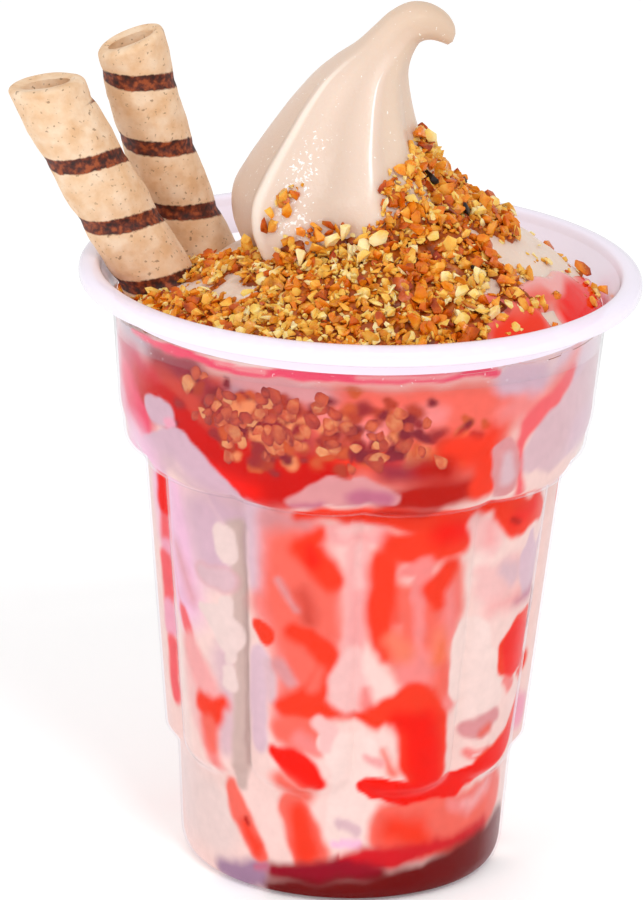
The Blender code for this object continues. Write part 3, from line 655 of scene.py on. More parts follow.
def panel_raise(azimuth, height):
    """How far a flute stands out from the valleys beside it, for arrays."""
    share = ((azimuth - PANEL_OFFSET) * PANELS / math.tau) % 1
    across = np.abs(2 * share - 1)
    foot = PANEL_FOOT + PANEL_CORNER * (1 - np.sqrt(1 - np.minimum(across, 1.0) ** 2))
    start = smooth((height - foot) / PANEL_START)
    finish = 1 - smooth((height - FLUTE_TOP[1]) / PANEL_FADE)
    return PANEL_DEPTH * (1 - across**3) * start * finish


def spline(points, position):
    """A point on the smooth curve through the points, where each whole position is one of them."""
    i = min(int(position), len(points) - 2)
    t = position - i
    p0, p1, p2, p3 = (points[min(max(i + k, 0), len(points) - 1)] for k in (-1, 0, 1, 2))
    return [
        b + t * ((c - a) + t * ((2 * a - 5 * b + 4 * c - d) + t * (3 * b - a - 3 * c + d))) / 2
        for a, b, c, d in zip(p0, p1, p2, p3)
    ]


def make_cup(wall_plastic, lip_plastic):
    """The whole wall, up its inside, over the rolled lip and down its outside."""
    outside = outer_outline()
    lip = [spline(LIP, i / 5) for i in range(5 * (len(LIP) - 1) + 1)]
    section = np.array(offset(outside, WALL) + lip + outside[::-1])
    azimuths = np.arange(CUP_STEPS) * math.tau / CUP_STEPS
    radius = section[:, :1] + np.where(section[:, :1] > BASE_RADIUS, panel_raise(azimuths, section[:, 1:]), 0)
    height = np.broadcast_to(section[:, 1:], radius.shape)
    grid = np.stack([radius * np.sin(azimuths), -radius * np.cos(azimuths), height], axis=2)
    # The section runs from the inside out, so the columns go round the other way to face out.
    cup = capped_grid("cup_shell", grid[1:-1, ::-1], wall_plastic, grid[0, 0], grid[-1, 0], 35)
    cup.data.materials.append(lip_plastic)
    for face in cup.data.polygons:
        if min(cup.data.vertices[i].co.z for i in face.vertices) > BAND_TOP[1] - 0.0002:
            face.material_index = 1
    return cup


# ---- what shows through the wall -------------------------------------------------------------------------

EMBEDDED = np.array(offset(outer_outline(), WALL - BITE))[2:]


def wall_radius(azimuth, height):
    """Radius of the contents inside the wall, for arrays."""
    return np.interp(height, EMBEDDED[:, 1], EMBEDDED[:, 0]) + panel_raise(azimuth, height)


def tongues(waves, azimuth):
    return sum(height * np.sin(count * azimuth + phase) for count, phase, height in waves)


def pool_top(azimuth):
    return POOL_HEIGHT + tongues(POOL_TONGUES, azimuth)


def filling_top(azimuth):
    middle, width, height = FILLING_SWELL
    around = (np.degrees(azimuth) + 180) % 360 - 180
    return FILLING_TOP + tongues(FILLING_TONGUES, azimuth) + height * np.exp(-((around - middle) / width) ** 2)


def sauce_top(azimuth):
    return lerp(SAUCE_TOP_BACK, SAUCE_TOP_FRONT, (1 + np.cos(azimuth)) / 2)


def wobbled(azimuth, height):
    """Places on the wall moved a little to and fro, so that painted edges come out uneven."""
    places = [Vector((a * 0.11, h * 0.16, 3.7)) for a, h in zip(azimuth, height)]
    moves = np.array([noise.noise_vector(p) + noise.noise_vector(p * 2.7) * 0.5 for p in places])
    return azimuth + moves[:, 0] * 1.0, height + moves[:, 1] * 0.8


MM_PER_DEGREE = 0.59


def stroke_reach(azimuth, height, path):
    """How far each place is inside a stroke's edge, in millimetres, and less than 0 outside it."""
    reach = np.full(azimuth.shape, -1e3)
    for (a0, h0, w0), (a1, h1, w1) in zip(path, path[1:] or path):
        run = np.array(((a1 - a0) * MM_PER_DEGREE, h1 - h0))
        across = ((azimuth - a0 + 180) % 360 - 180) * MM_PER_DEGREE
        upward = height - h0
        share = np.clip((across * run[0] + upward * run[1]) / max(run @ run, 1e-9), 0, 1)
        distance = np.hypot(across - share * run[0], upward - share * run[1])
        reach = np.maximum(reach, lerp(w0, w1, share) - distance)
    return reach


def painted(azimuth, height, layers, base):
    """Linear colours at places on the wall, in degrees and millimetres."""
    azimuth, height = wobbled(azimuth, height)
    colours = np.broadcast_to(np.array(base, float), (len(azimuth), 3)).copy()
    for shade, softness, path in layers:
        share = smooth(stroke_reach(azimuth, height, path) / softness + 0.5)[:, None]
        colours += (np.array(shade) - colours) * share
    return colours


def back_layers():
    """Drips, smears and patches round the back, of the kinds that the front has."""
    made = []
    for _ in range(26):
        azimuth, height = random.uniform(84, 276), random.uniform(8, 88)
        kind = random.random()
        if kind < 0.45:
            lean, length, width = random.uniform(-6, 6), random.uniform(8, 26), random.uniform(2, 4.5)
            shade = random.choice((RED, RED, CORAL, PINK))
            path = ((azimuth, height, width), (azimuth + lean, height - length, width * 0.7))
        elif kind < 0.8:
            lean, width = random.uniform(-5, 5), random.uniform(3, 6)
            shade = random.choice((CREAM, WARM_WHITE, IVORY, LAVENDER))
            path = ((azimuth, height, width), (azimuth + lean, height - 7, width * 0.8))
        else:
            shade, width = random.choice((PINK, ROSE, CORAL)), random.uniform(4, 7)
            path = ((azimuth, height, width), (azimuth + 9, height + 4, width * 0.7))
        made.append((shade, random.choice((1.0, 1.6, 3.0, 5.0)), path))
    return tuple(made)


def nuts_behind_wall():
    """Soft spots of nuts in the sauce, further in than the ones that touch the wall."""
    made = []
    for _ in range(190):
        azimuth = random.triangular(-50, 36, -20)
        height = random.gauss(along(NUT_BAND, azimuth), NUT_SPREAD * 0.8)
        width, rise = random.triangular(0.5, 1.5, 0.8), random.uniform(-1.0, 1.0)
        shade = random.choice(NUTS_IN_SAUCE)
        path = ((azimuth, height, width), (azimuth + random.uniform(-1.5, 1.5), height + rise, width * 0.7))
        if 80 < height < 97:
            made.append((shade, random.choice((0.7, 1.0, 1.6)), path))
    return tuple(made)


def wall_piece(name, low_at, high_at, rows, material, layers):
    """A layer of the contents against the wall, from one height to another at each azimuth."""
    azimuths = np.arange(WALL_COLUMNS) * math.tau / WALL_COLUMNS
    low, high = low_at(azimuths), high_at(azimuths)
    shares = np.linspace(0, 1, rows)[:, None]
    heights = low + (high - low) * shares
    radius = wall_radius(azimuths, heights)
    grid = np.stack([radius * np.sin(azimuths), -radius * np.cos(azimuths), heights], axis=2)
    ends = [Vector((0, 0, float(edge.mean()))) for edge in (low, high)]
    piece = capped_grid(name, grid, material, *ends)
    degrees = np.degrees(np.broadcast_to(azimuths, heights.shape)).ravel()
    give_colours(piece, "layers", painted(degrees, heights.ravel() / MM, layers, CREAM))
    return piece


# ---- soft serve above the sauce --------------------------------------------------------------------------


def groove(azimuth):
    return along(RIDGES, degrees_round(azimuth))


def swirl_point(azimuth, position):
    """A point of the swirl, where each whole position is one of its spans."""
    left_x, left_z, right_x, right_z = spline(SWIRL_SPANS, position)
    half = Vector((right_x - left_x, 0, right_z - left_z)) / 2
    middle = Vector((left_x + right_x, 0, left_z + right_z)) / 2
    depth = LOBE_DEPTH * (1 - float(smooth((position - RIDGE_FADE[0]) / RIDGE_FADE[1])))
    size = 1 - depth * groove(azimuth)
    return middle + (half * math.sin(azimuth) + Vector((0, -half.length * math.cos(azimuth), 0))) * size


def edge_point(azimuth):
    """Where the top of the soft serve meets the wall."""
    height = along(EDGE_HEIGHTS, degrees_round(azimuth))
    return polar(azimuth, float(wall_radius(azimuth, height)), height)


def crown_point(azimuth, position):
    """A point on top of the soft serve: 0 is at the wall, 1 at the swirl's foot, and then a span each."""
    if position >= 1:
        return swirl_point(azimuth, position - 1)
    edge, foot = edge_point(azimuth), swirl_point(azimuth, 0)
    point = edge.lerp(foot, position)
    point.z = lerp(edge.z, foot.z, max(position, 0) ** along(SLOPE_BENDS, degrees_round(azimuth)))
    return point


NEARBY = 0.02


def crown_normal(azimuth, position):
    across = crown_point(azimuth + NEARBY, position) - crown_point(azimuth - NEARBY, position)
    upward = crown_point(azimuth, position + NEARBY) - crown_point(azimuth, max(position - NEARBY, 0))
    return across.cross(upward).normalized()


def between(low, high, edge, value):
    """1 where a value is inside a range, easing to 0 beyond its edges."""
    return float(smooth((value - low) / edge + 0.5) * smooth((high - value) / edge + 0.5))


def serve_shade(azimuth, position):
    """The soft serve's colour: painted shade, warmer and darker, in the grooves and on its right side, warmer at its
    tip, and painted highlights along two ridges.
    """
    degrees, span = degrees_round(azimuth), position - 1
    rise = min(max(position - 0.9, 0.0), 1.0)
    mixed = Vector(SERVE).lerp(Vector(SERVE_GROOVE_SHADE), 0.75 * groove(azimuth) * rise * (1 - 0.6 * min(max(span, 0) / 9, 1)))
    mixed = mixed.lerp(Vector(SERVE_SIDE_SHADE), 0.8 * rise * between(28, 100, 10, degrees))
    mixed = mixed.lerp(Vector(SERVE_RIDGE_HIGHLIGHT), 0.9 * rise * between(-51, -43, 5, degrees) * between(0, 8, 3, span))
    mixed = mixed.lerp(Vector(SERVE_TIP), 0.8 * min(max((span - 7) / 6, 0.0), 1.0))
    return tuple(mixed.lerp(Vector(PAINTED_HIGHLIGHT), between(18, 19.6, 1.6, degrees) * between(2.8, 7.4, 1.4, span)))


def glint_share(azimuth, position):
    """Where painted glints go on the swirl's front, from 0 to 1."""
    degrees, span = degrees_round(azimuth), position - 1
    front = between(-36, -14, 14, degrees) * between(0.4, 5.0, 2.6, span)
    return front + 0.5 * between(-78, -66, 8, degrees) * between(1.5, 4, 2, span)


def make_crown(material, layers):
    """Mound and swirl in one, with soft dents and lumps on the mound."""
    azimuths = [math.tau * i / CROWN_COLUMNS for i in range(CROWN_COLUMNS)]
    rings, wall_rows = [], 8
    for row in range(wall_rows):
        ring = []
        for a in azimuths:
            height = lerp(float(sauce_top(a)), along(EDGE_HEIGHTS, degrees_round(a)), row / wall_rows)
            ring.append(polar(a, float(wall_radius(a, height)), height))
        rings.append(ring)
    mound_rows, swirl_rows = 50, 150
    positions = [i / mound_rows for i in range(mound_rows)]
    positions += [1 + (len(SWIRL_SPANS) - 1) * i / swirl_rows for i in range(swirl_rows + 1)]
    for position in positions:
        ring = []
        for a in azimuths:
            point = crown_point(a, position)
            lump = noise.noise(point * 160) * 0.6 + noise.noise(point * 420) * 0.25
            share = min(position * 4, 1) * (1 if position < 1 else max(0.12, 1 - (position - 1) * 0.8))
            ring.append(point + point.normalized() * (lump * share * MM))
        rings.append(ring)
    grid = np.array([[tuple(p) for p in ring] for ring in rings])
    tip = (SWIRL_TIP[0], 0, SWIRL_TIP[1])
    crown = capped_grid("soft_serve_crown", grid, material, (0, 0, float(grid[0, :, 2].mean())), tip)
    against_wall = grid[: wall_rows + 1].reshape(-1, 3)
    degrees = np.degrees(np.arctan2(against_wall[:, 0], -against_wall[:, 1]))
    colours = painted(degrees, against_wall[:, 2] / MM, layers, CREAM)
    above = [serve_shade(a, position) for position in positions[1:] for a in azimuths] + [SERVE_TIP, SERVE_TIP]
    give_colours(crown, "layers", np.concatenate([colours, np.array(above)]))
    # Where the material paints glints on the swirl
    wet = [glint_share(a, position) for position in positions[1:] for a in azimuths]
    give_values(crown, "wet", np.concatenate([np.zeros(len(colours)), np.array(wet)]))
    return crown


# ---- nuts and sauce on top -------------------------------------------------------------------------------

MOUND_RUN = 24.0
SPAN_RUN = 4.5


def position_of(travel):
    """The position of crown_point at a number of millimetres from the wall."""
    return travel / MOUND_RUN if travel < MOUND_RUN else 1 + (travel - MOUND_RUN) / SPAN_RUN


def inside(degrees, travel, path, softness):
    """How much each place on the mound is inside a stroke, from 0 to 1, for arrays."""
    ragged = np.array([noise.noise(Vector((d * 0.12, t * 0.25, 5.1))) for d, t in zip(degrees, travel)])
    return smooth((stroke_reach(degrees, travel, path) + ragged * 1.2) / softness + 0.5)


def nut_cover(degrees, travel):
    """How thickly nuts cover places on the soft serve, from 0 to 1, for arrays."""
    reach = np.interp(degrees, *zip(*NUT_REACH))
    ragged = np.array([noise.noise(Vector((d * 0.1, t * 0.2, 1.3))) for d, t in zip(degrees, travel)])
    sides = np.minimum(degrees - NUT_REACH[0][0], NUT_REACH[-1][0] - degrees) / 5
    cover = np.clip(np.minimum((reach + ragged * 1.6 - travel) / 1.2, sides), 0, 1)
    cover = cover * (1 - 0.35 * smooth((travel - 28) / 3))
    for share, path in BARE_PLACES:
        cover = cover * (1 - share * inside(degrees, travel, path, 0.8))
    for share, path in FAR_NUTS:
        cover = np.maximum(cover, share * inside(degrees, travel, path, 0.6))
    return cover


def topping_sheet(name, degrees, travels, lift_at, material):
    """A sheet that lies on the soft serve where lift_at is above 0, and is sunk in it elsewhere."""
    across, up = np.meshgrid(degrees, travels)
    lifts = lift_at(across.ravel(), up.ravel())
    points = []
    for turn, travel, lift in zip(across.ravel(), up.ravel(), lifts):
        azimuth, position = math.radians(turn), position_of(travel)
        # Beside the wall it rises straight up, so that it stays off the plastic.
        normal = Vector((0, 0, 1)).lerp(crown_normal(azimuth, position), min(travel / 3, 1.0))
        points.append(crown_point(azimuth, position) + normal * lift * MM)
    columns = len(degrees)
    faces = [(row * columns + i, row * columns + i + 1, (row + 1) * columns + i + 1, (row + 1) * columns + i)
             for row in range(len(travels) - 1) for i in range(columns - 1)]
    sheet = mesh_object(name, points, faces, material)
    return sheet, across.ravel(), up.ravel()


def core_share(cover, travel):
    """How much of the crumbly core stands under the nuts at a place: none on the swirl itself."""
    return smooth((cover - 0.35) / 0.5) * smooth((30 - travel) / 4)


def heap_lift(degrees, travel):
    lumps = np.array([noise.noise(Vector((d * 0.35, t * 0.6, 9.0))) for d, t in zip(degrees, travel)])
    return -0.8 + core_share(nut_cover(degrees, travel), travel) * (1.5 + lumps * 0.7)


def make_nut_core(material):
    """The crumbs and fat that the nuts on top are stuck in, coloured darker than the nuts as painted shade in the gaps
    between them.
    """
    degrees = np.arange(NUT_REACH[0][0], NUT_REACH[-1][0] + 0.1, 0.9)
    sheet, across, up = topping_sheet("crumb_layer_and_gap_shade", degrees, np.arange(0, 34, 0.5), heap_lift, material)
    tones = [0.5 + 0.6 * noise.noise(Vector((d * 0.2, t * 0.4, 2.0))) for d, t in zip(across, up)]
    give_values(sheet, "tone", np.array(tones))
    return sheet


def make_top_sauce(material):
    def lift_at(degrees, travel):
        shares = [inside(degrees, travel, path, 1.4) for _, _, path in TOP_SAUCE]
        return -0.4 + 0.95 * np.max(shares, axis=0)

    sheet, degrees, travel = topping_sheet(
        "sauce_on_top", np.arange(24, 112, 0.7), np.arange(0, 17, 0.35), lift_at, material)
    colours = np.broadcast_to(np.array(BLUSH), (len(degrees), 3)).copy()
    for shade, softness, path in TOP_SAUCE:
        share = inside(degrees, travel, path, softness)[:, None]
        colours += (np.array(shade) - colours) * share
    give_colours(sheet, "layers", colours)
    return sheet


def nut_shapes(count, flatness, corners=26, cuts=6):
    """Broken bits of nut: hulls of points on a lump, cut flat at several sides, and how dark each point is."""
    shapes = []
    for _ in range(count):
        shape = bmesh.new()
        points = [Vector([random.gauss(0, 1) for _ in range(3)]).normalized() for _ in range(corners)]
        for _ in range(cuts):
            side = Vector([random.gauss(0, 1) for _ in range(3)]).normalized()
            depth = random.uniform(0.3, 0.7)
            points = [p - side * max(p.dot(side) - depth, 0) for p in points]
        scale = Vector((1.15, random.uniform(0.6, 0.95), flatness * random.uniform(0.7, 1.2)))
        for point in points:
            shape.verts.new(point * scale)
        made = bmesh.ops.convex_hull(shape, input=shape.verts)
        loose = {v for v in made["geom_interior"] + made["geom_unused"] if isinstance(v, bmesh.types.BMVert)}
        bmesh.ops.delete(shape, geom=list(loose), context="VERTS")
        bmesh.ops.recalc_face_normals(shape, faces=shape.faces)
        shape.verts.index_update()
        vertices = np.array([tuple(v.co) for v in shape.verts])
        faces = [[v.index for v in face.verts] for face in shape.faces]
        skin_side = np.array(Vector([random.gauss(0, 1) for _ in range(3)]).normalized())
        # A bit is darker on its skin side and at its rim.
        darker = np.maximum(vertices @ skin_side, 0) + 0.7 * np.hypot(vertices[:, 0], vertices[:, 1]) ** 3
        shapes.append((vertices, faces, darker))
        shape.free()
    return shapes


class Heap:
    """Many small bits joined in one mesh, each with a tone of its own."""

    def __init__(self, name, shapes):
        self.name, self.shapes = name, shapes
        self.points, self.faces, self.tones, self.count = [], [], [], 0

    def add(self, place, turn, size, tone=None, squeeze=1.0):
        vertices, faces, darker = random.choice(self.shapes) if size < 0.002 else self.shapes[0]
        moved = (vertices * (size, size, size * squeeze)) @ np.array(turn.to_matrix()).T + np.array(place)
        own = random.uniform(0.1, 0.9) if tone is None else tone
        self.faces += [[i + self.count for i in face] for face in faces]
        self.points.append(moved)
        self.tones.append(np.clip(own + 0.18 - 0.3 * darker, 0, 1))
        self.count += len(vertices)

    def finish(self, material):
        piece = mesh_object(self.name, np.concatenate(self.points), self.faces, material, 32)
        give_values(piece, "tone", np.concatenate(self.tones))
        return piece


def resting_turn(normal, tilt):
    """A turn that lays a bit nearly flat on a surface."""
    away = Vector([random.gauss(0, 1) for _ in range(3)]).normalized()
    leaning = (normal + away * tilt).normalized()
    return leaning.to_track_quat("Z", "Y") @ Quaternion((0, 0, 1), random.uniform(0, math.tau))


def scattered(tries):
    """Random places on the soft serve that nuts cover, as azimuths, millimetres from the wall and covers."""
    degrees = np.array([random.uniform(NUT_REACH[0][0], NUT_REACH[-1][0]) for _ in range(tries)])
    travel = np.array([random.uniform(1.0, 46) for _ in range(tries)])
    cover = nut_cover(degrees, travel)
    # Places near the axis stand closer together, so fewer are kept.
    radius = np.interp(travel, (0, 24, 46), (0.95, 0.45, 0.28))
    kept = np.array([random.random() for _ in range(tries)]) < cover * radius
    return zip(degrees[kept], travel[kept], cover[kept])


def make_nuts(pale, toasted, skins, dark):
    chunks, flakes = nut_shapes(18, 0.8), nut_shapes(16, 0.4)
    crumbs, thin = nut_shapes(10, 0.8, 13, 2), nut_shapes(8, 0.16)
    heaps = {
        "pale": Heap("nuts_pale", chunks + flakes),
        "toasted": Heap("nuts_toasted", chunks + flakes),
        "pale crumbs": Heap("crumbs_pale", crumbs),
        "toasted crumbs": Heap("crumbs_toasted", crumbs),
        "skins": Heap("nut_skins", thin),
        "dark": Heap("dark_bits", chunks),
    }
    for tries, crumb in ((9000, True), (5600, False)):
        for degrees, travel, cover in scattered(tries):
            azimuth, position = math.radians(degrees), position_of(travel)
            normal = crown_normal(azimuth, position)
            point = crown_point(azimuth, position)
            roast = 0.5 + 0.9 * noise.noise(point * 140 + Vector((0, 0, 3)))
            kind = "toasted" if random.random() < roast else "pale"
            if crumb:
                kind, size = kind + " crumbs", random.uniform(0.35, 0.75)
            else:
                kind = "skins" if random.random() < 0.04 else kind
                size = random.triangular(0.7, 2.1 if degrees > 15 or travel > 24 else 1.7, 1.05)
            lift = max(0, -0.8 + 1.5 * float(core_share(cover, travel))) + size * random.uniform(0.1, 0.6)
            tilt = 0.5 if cover < 0.6 else 0.9
            heaps[kind].add(point + normal * lift * MM, resting_turn(normal, tilt), size * MM)
    for kind, degrees, travel, size, tone in SINGLE_NUTS:
        azimuth, position = math.radians(degrees), position_of(travel)
        normal = crown_normal(azimuth, position)
        lift = size * 0.6 + (1.0 if travel < 30 else 0.0)
        heaps[kind].add(crown_point(azimuth, position) + normal * lift * MM, resting_turn(normal, 0.4), size * MM, tone)
    finishes = {"pale": pale, "toasted": toasted, "skins": skins, "dark": dark}
    return [heap.finish(finishes[kind.split()[0]]) for kind, heap in heaps.items()]


def make_pressed_nuts(material):
    """Nuts in the sauce that are pressed flat against the inside of the wall."""
    rounded = nut_shapes(14, 0.6, 44, 3)
    # Sauce has soaked into their rims, so those are darker.
    heap = Heap("nuts_against_wall", [(v, f, 1.5 * np.hypot(v[:, 0], v[:, 1]) ** 3) for v, f, _ in rounded])
    for _ in range(PRESSED_TRIES):
        degrees, height = random.triangular(-47, 22, -24), random.uniform(80.5, 97.5) * MM
        away = (height / MM - along(NUT_BAND, degrees)) / NUT_SPREAD
        if random.random() > math.exp(-away**2):
            continue
        azimuth = math.radians(degrees)
        outwards = polar(azimuth, 1.0, 0.0)
        size = random.triangular(0.8, 2.3, 1.3)
        place = polar(azimuth, float(wall_radius(azimuth, height)), height) + outwards * 0.00003
        heap.add(place, resting_turn(outwards, 0.04), size * MM, None, 0.3 / size)
    return heap.finish(material)


# ---- wafers ----------------------------------------------------------------------------------------------


def wafer_frame(wafer):
    """The line from foot to head as a direction and a length, and two directions square to it."""
    line = Vector(wafer["head"]) - Vector(wafer["foot"])
    axis = line.normalized()
    side = Vector((0, 1, 0)).cross(axis).normalized()
    return axis, line.length, side, axis.cross(side)


def make_wafer(name, wafer, material):
    """A hollow roll of ribbon, thicker between its turns, with a rounded lip round its hole."""
    axis, length, side, back = wafer_frame(wafer)
    columns = 96
    body = (wafer["radius"], wafer["radius"])
    lip_steps, lip_radius = 10, 0.0011

    def turns(distance, angle):
        return distance / WAFER_PITCH + angle / math.tau + wafer["phase"]

    def ring(distance, radii, bulge):
        points = []
        for i in range(columns):
            angle = math.tau * i / columns
            size = 1 + bulge * (abs(math.sin(math.pi * turns(distance, angle))) ** 0.5 - 0.6) / radii[0]
            across = (side * math.cos(angle) * radii[0] + back * math.sin(angle) * radii[1]) * size
            turned_in = float(smooth((distance - length + WAFER_SLANT) / WAFER_SLANT))
            slant = wafer["slant"] * turned_in * across.dot(side)
            at = distance + slant
            bow = 4 * wafer["bow"] * (at / length) * (1 - max(at, 0) / length)
            point = Vector(wafer["foot"]) + axis * at - side * bow + across
            dent = noise.noise(point * 230) * 0.25 + noise.noise(point * 600) * 0.08
            points.append(point + across.normalized() * dent * MM)
        return points

    rows = [(lerp(-WAFER_BURIED, length - lip_radius, i / 110), 0.0) for i in range(111)]
    rows += [(length - lip_radius + lip_radius * math.sin(a), 1 - math.cos(a))
             for a in (math.pi / 2 * (i + 1) / lip_steps for i in range(lip_steps))]
    rings, marks = [], []
    for distance, inward in rows:
        radius = body[0] - inward * lip_radius
        rings.append(ring(distance, (radius, radius), WAFER_BULGE * (1 - inward)))
        marks.append(distance)
    for i in range(1, 5):
        share = i / 4
        radii = (lerp(body[0] - lip_radius, WAFER_HOLE[0], share), lerp(body[0] - lip_radius, WAFER_HOLE[1], share))
        rings.append(ring(length - 0.0004 * share, radii, 0.0))
        marks.append(length)
    for depth in (0.0008, 0.002, 0.005, 0.012, 0.03):
        rings.append(ring(length - depth, WAFER_HOLE, 0.0))
        marks.append(length)
    grid = np.array([[tuple(p) for p in r] for r in rings])
    low, high = grid[0].mean(axis=0), grid[-1].mean(axis=0)
    wafer_piece = capped_grid(name, grid, material, low, high, 70)
    layer = wafer_piece.data.attributes.new("turns", "FLOAT", "CORNER")
    values = []
    for face in wafer_piece.data.polygons:
        corners = [i for i in face.vertices]
        spots = [(i // columns, i % columns) for i in corners]
        wraps = max(c for _, c in spots) - min(c for _, c in spots) > columns // 2
        for row, column in spots:
            distance = marks[row] if row < len(marks) else -WAFER_BURIED
            angle = math.tau * (column + (columns if wraps and column < columns // 2 else 0)) / columns
            values.append(turns(distance, angle))
    layer.data.foreach_set("value", values)
    # The ribbon's edge is bare pale wafer just below the lip.
    striped = [float(smooth((length - wafer["bare"] - mark) / 0.0006)) for mark in marks for _ in range(columns)]
    give_values(wafer_piece, "striped", np.array(striped))
    return wafer_piece


# ---- materials -------------------------------------------------------------------------------------------


def clear_plastic(name, haze, edge_haze, shade, roughness):
    """Clear plastic with some milk in it, which shows more aslant, under a gloss. Its back faces are clear."""
    made, tree, milk = new_material(name, Roughness=0.3)
    tone = use_group(tree, MOTTLE, {"Color": (*shade, 1), "Scale": 90.0, "Amount": 0.04})
    tree.links.new(tone.outputs["Color"], milk.inputs["Base Color"])
    clear = node(tree, "ShaderNodeBsdfTransparent", {"Color": (*colour(254, 252, 254), 1)})
    gloss = node(tree, "ShaderNodeBsdfAnisotropic", {"Roughness": roughness})
    aslant = node(tree, "ShaderNodeLayerWeight", {"Blend": 0.5}).outputs["Facing"]
    share = node(tree, "ShaderNodeMapRange", {0: aslant, 1: 0.55, 2: 1.0, 3: haze, 4: edge_haze}).outputs[0]
    mirrored = node(tree, "ShaderNodeFresnel", {"IOR": 1.25}).outputs[0]
    milky = node(tree, "ShaderNodeMixShader", {0: share, 1: clear.outputs[0], 2: milk.outputs[0]})
    front = node(tree, "ShaderNodeMixShader", {0: mirrored, 1: milky.outputs[0], 2: gloss.outputs[0]})
    behind = node(tree, "ShaderNodeNewGeometry").outputs["Backfacing"]
    surface = node(tree, "ShaderNodeMixShader", {0: behind, 1: front.outputs[0], 2: clear.outputs[0]})
    tree.links.new(surface.outputs[0], tree.nodes["Material Output"].inputs["Surface"])
    return made


def layered_contents():
    made, tree, shader = new_material("sauce_and_soft_serve", Roughness=0.35)
    shader.inputs["Specular IOR Level"].default_value = 0.0
    painted_on = node(tree, "ShaderNodeAttribute", attribute_name="layers").outputs["Color"]
    tone = use_group(tree, MOTTLE, {"Color": painted_on, "Scale": 420.0, "Amount": 0.22})
    tree.links.new(tone.outputs["Color"], shader.inputs["Base Color"])
    return made


def soft_serve():
    made, tree, shader = new_material("soft_serve", IOR=1.4, Subsurface_Weight=0.25, Subsurface_Scale=0.004)
    shader.inputs["Subsurface Radius"].default_value = (1.0, 0.7, 0.5)
    painted_on = node(tree, "ShaderNodeAttribute", attribute_name="layers").outputs["Color"]
    tone = use_group(tree, MOTTLE, {"Color": painted_on, "Scale": 70.0, "Amount": 0.06})
    # Painted glints: fine noise specks, more of them on the wet places, are mixed towards near white
    glint_specks = node(tree, "ShaderNodeTexNoise", {"Vector": place(tree), "Scale": 1500.0, "Detail": 2.0, "Distortion": 0.8})
    glint_places = node(tree, "ShaderNodeAttribute", attribute_name="wet").outputs["Fac"]
    height = math_node(tree, "MULTIPLY_ADD", glint_places, 0.15, glint_specks.outputs["Fac"])
    painted_glints = ramp(tree, height, ((0.7, 0.0), (0.76, 0.85)))
    tree.links.new(mix_colours(tree, painted_glints, tone.outputs["Color"], PAINTED_HIGHLIGHT), shader.inputs["Base Color"])
    grain = node(tree, "ShaderNodeTexNoise", {"Vector": place(tree), "Scale": 1500.0, "Detail": 3.0})
    wet = node(tree, "ShaderNodeTexNoise", {"Vector": place(tree), "Scale": 60.0, "Detail": 2.0})
    tree.links.new(ramp(tree, wet.outputs["Fac"], ((0.35, 0.28), (0.65, 0.45))), shader.inputs["Roughness"])
    bump(tree, shader, grain.outputs["Fac"], 0.0002, 0.35)
    return made


def nut_flesh(name, shades, roughness):
    """Broken nut, with a tone for each bit and darker, toasted spots."""
    made, tree, shader = new_material(name, Subsurface_Weight=0.3, Subsurface_Scale=0.0015)
    shader.inputs["Subsurface Radius"].default_value = (1.0, 0.55, 0.25)
    shader.inputs["Specular IOR Level"].default_value = 0.35
    tone = node(tree, "ShaderNodeAttribute", attribute_name="tone").outputs["Fac"]
    spots = node(tree, "ShaderNodeTexNoise", {"Vector": place(tree), "Scale": 700.0, "Detail": 3.0})
    value = math_node(tree, "MULTIPLY_ADD", spots.outputs["Fac"], 0.6, math_node(tree, "SUBTRACT", tone, 0.3))
    shade = ramp(tree, value, [(i / (len(shades) - 1), s) for i, s in enumerate(shades)])
    tree.links.new(shade, shader.inputs["Base Color"])
    tree.links.new(ramp(tree, spots.outputs["Fac"], ((0.3, roughness - 0.1), (0.7, roughness + 0.15))),
                   shader.inputs["Roughness"])
    bump(tree, shader, spots.outputs["Fac"], 0.0003, 0.6)
    return made


def top_sauce():
    """Bright wet strawberry sauce, thin at its edges."""
    made, tree, shader = new_material("sauce_on_top", Roughness=0.12, Subsurface_Weight=0.1, Subsurface_Scale=0.002)
    shader.inputs["Specular IOR Level"].default_value = 0.2
    shader.inputs["Subsurface Radius"].default_value = (1.0, 0.2, 0.1)
    painted_on = node(tree, "ShaderNodeAttribute", attribute_name="layers").outputs["Color"]
    tone = use_group(tree, MOTTLE, {"Color": painted_on, "Scale": 260.0, "Amount": 0.15})
    tree.links.new(tone.outputs["Color"], shader.inputs["Base Color"])
    ripples = node(tree, "ShaderNodeTexNoise", {"Vector": place(tree), "Scale": 300.0, "Detail": 2.0})
    bump(tree, shader, ripples.outputs["Fac"], 0.0004, 0.4)
    return made


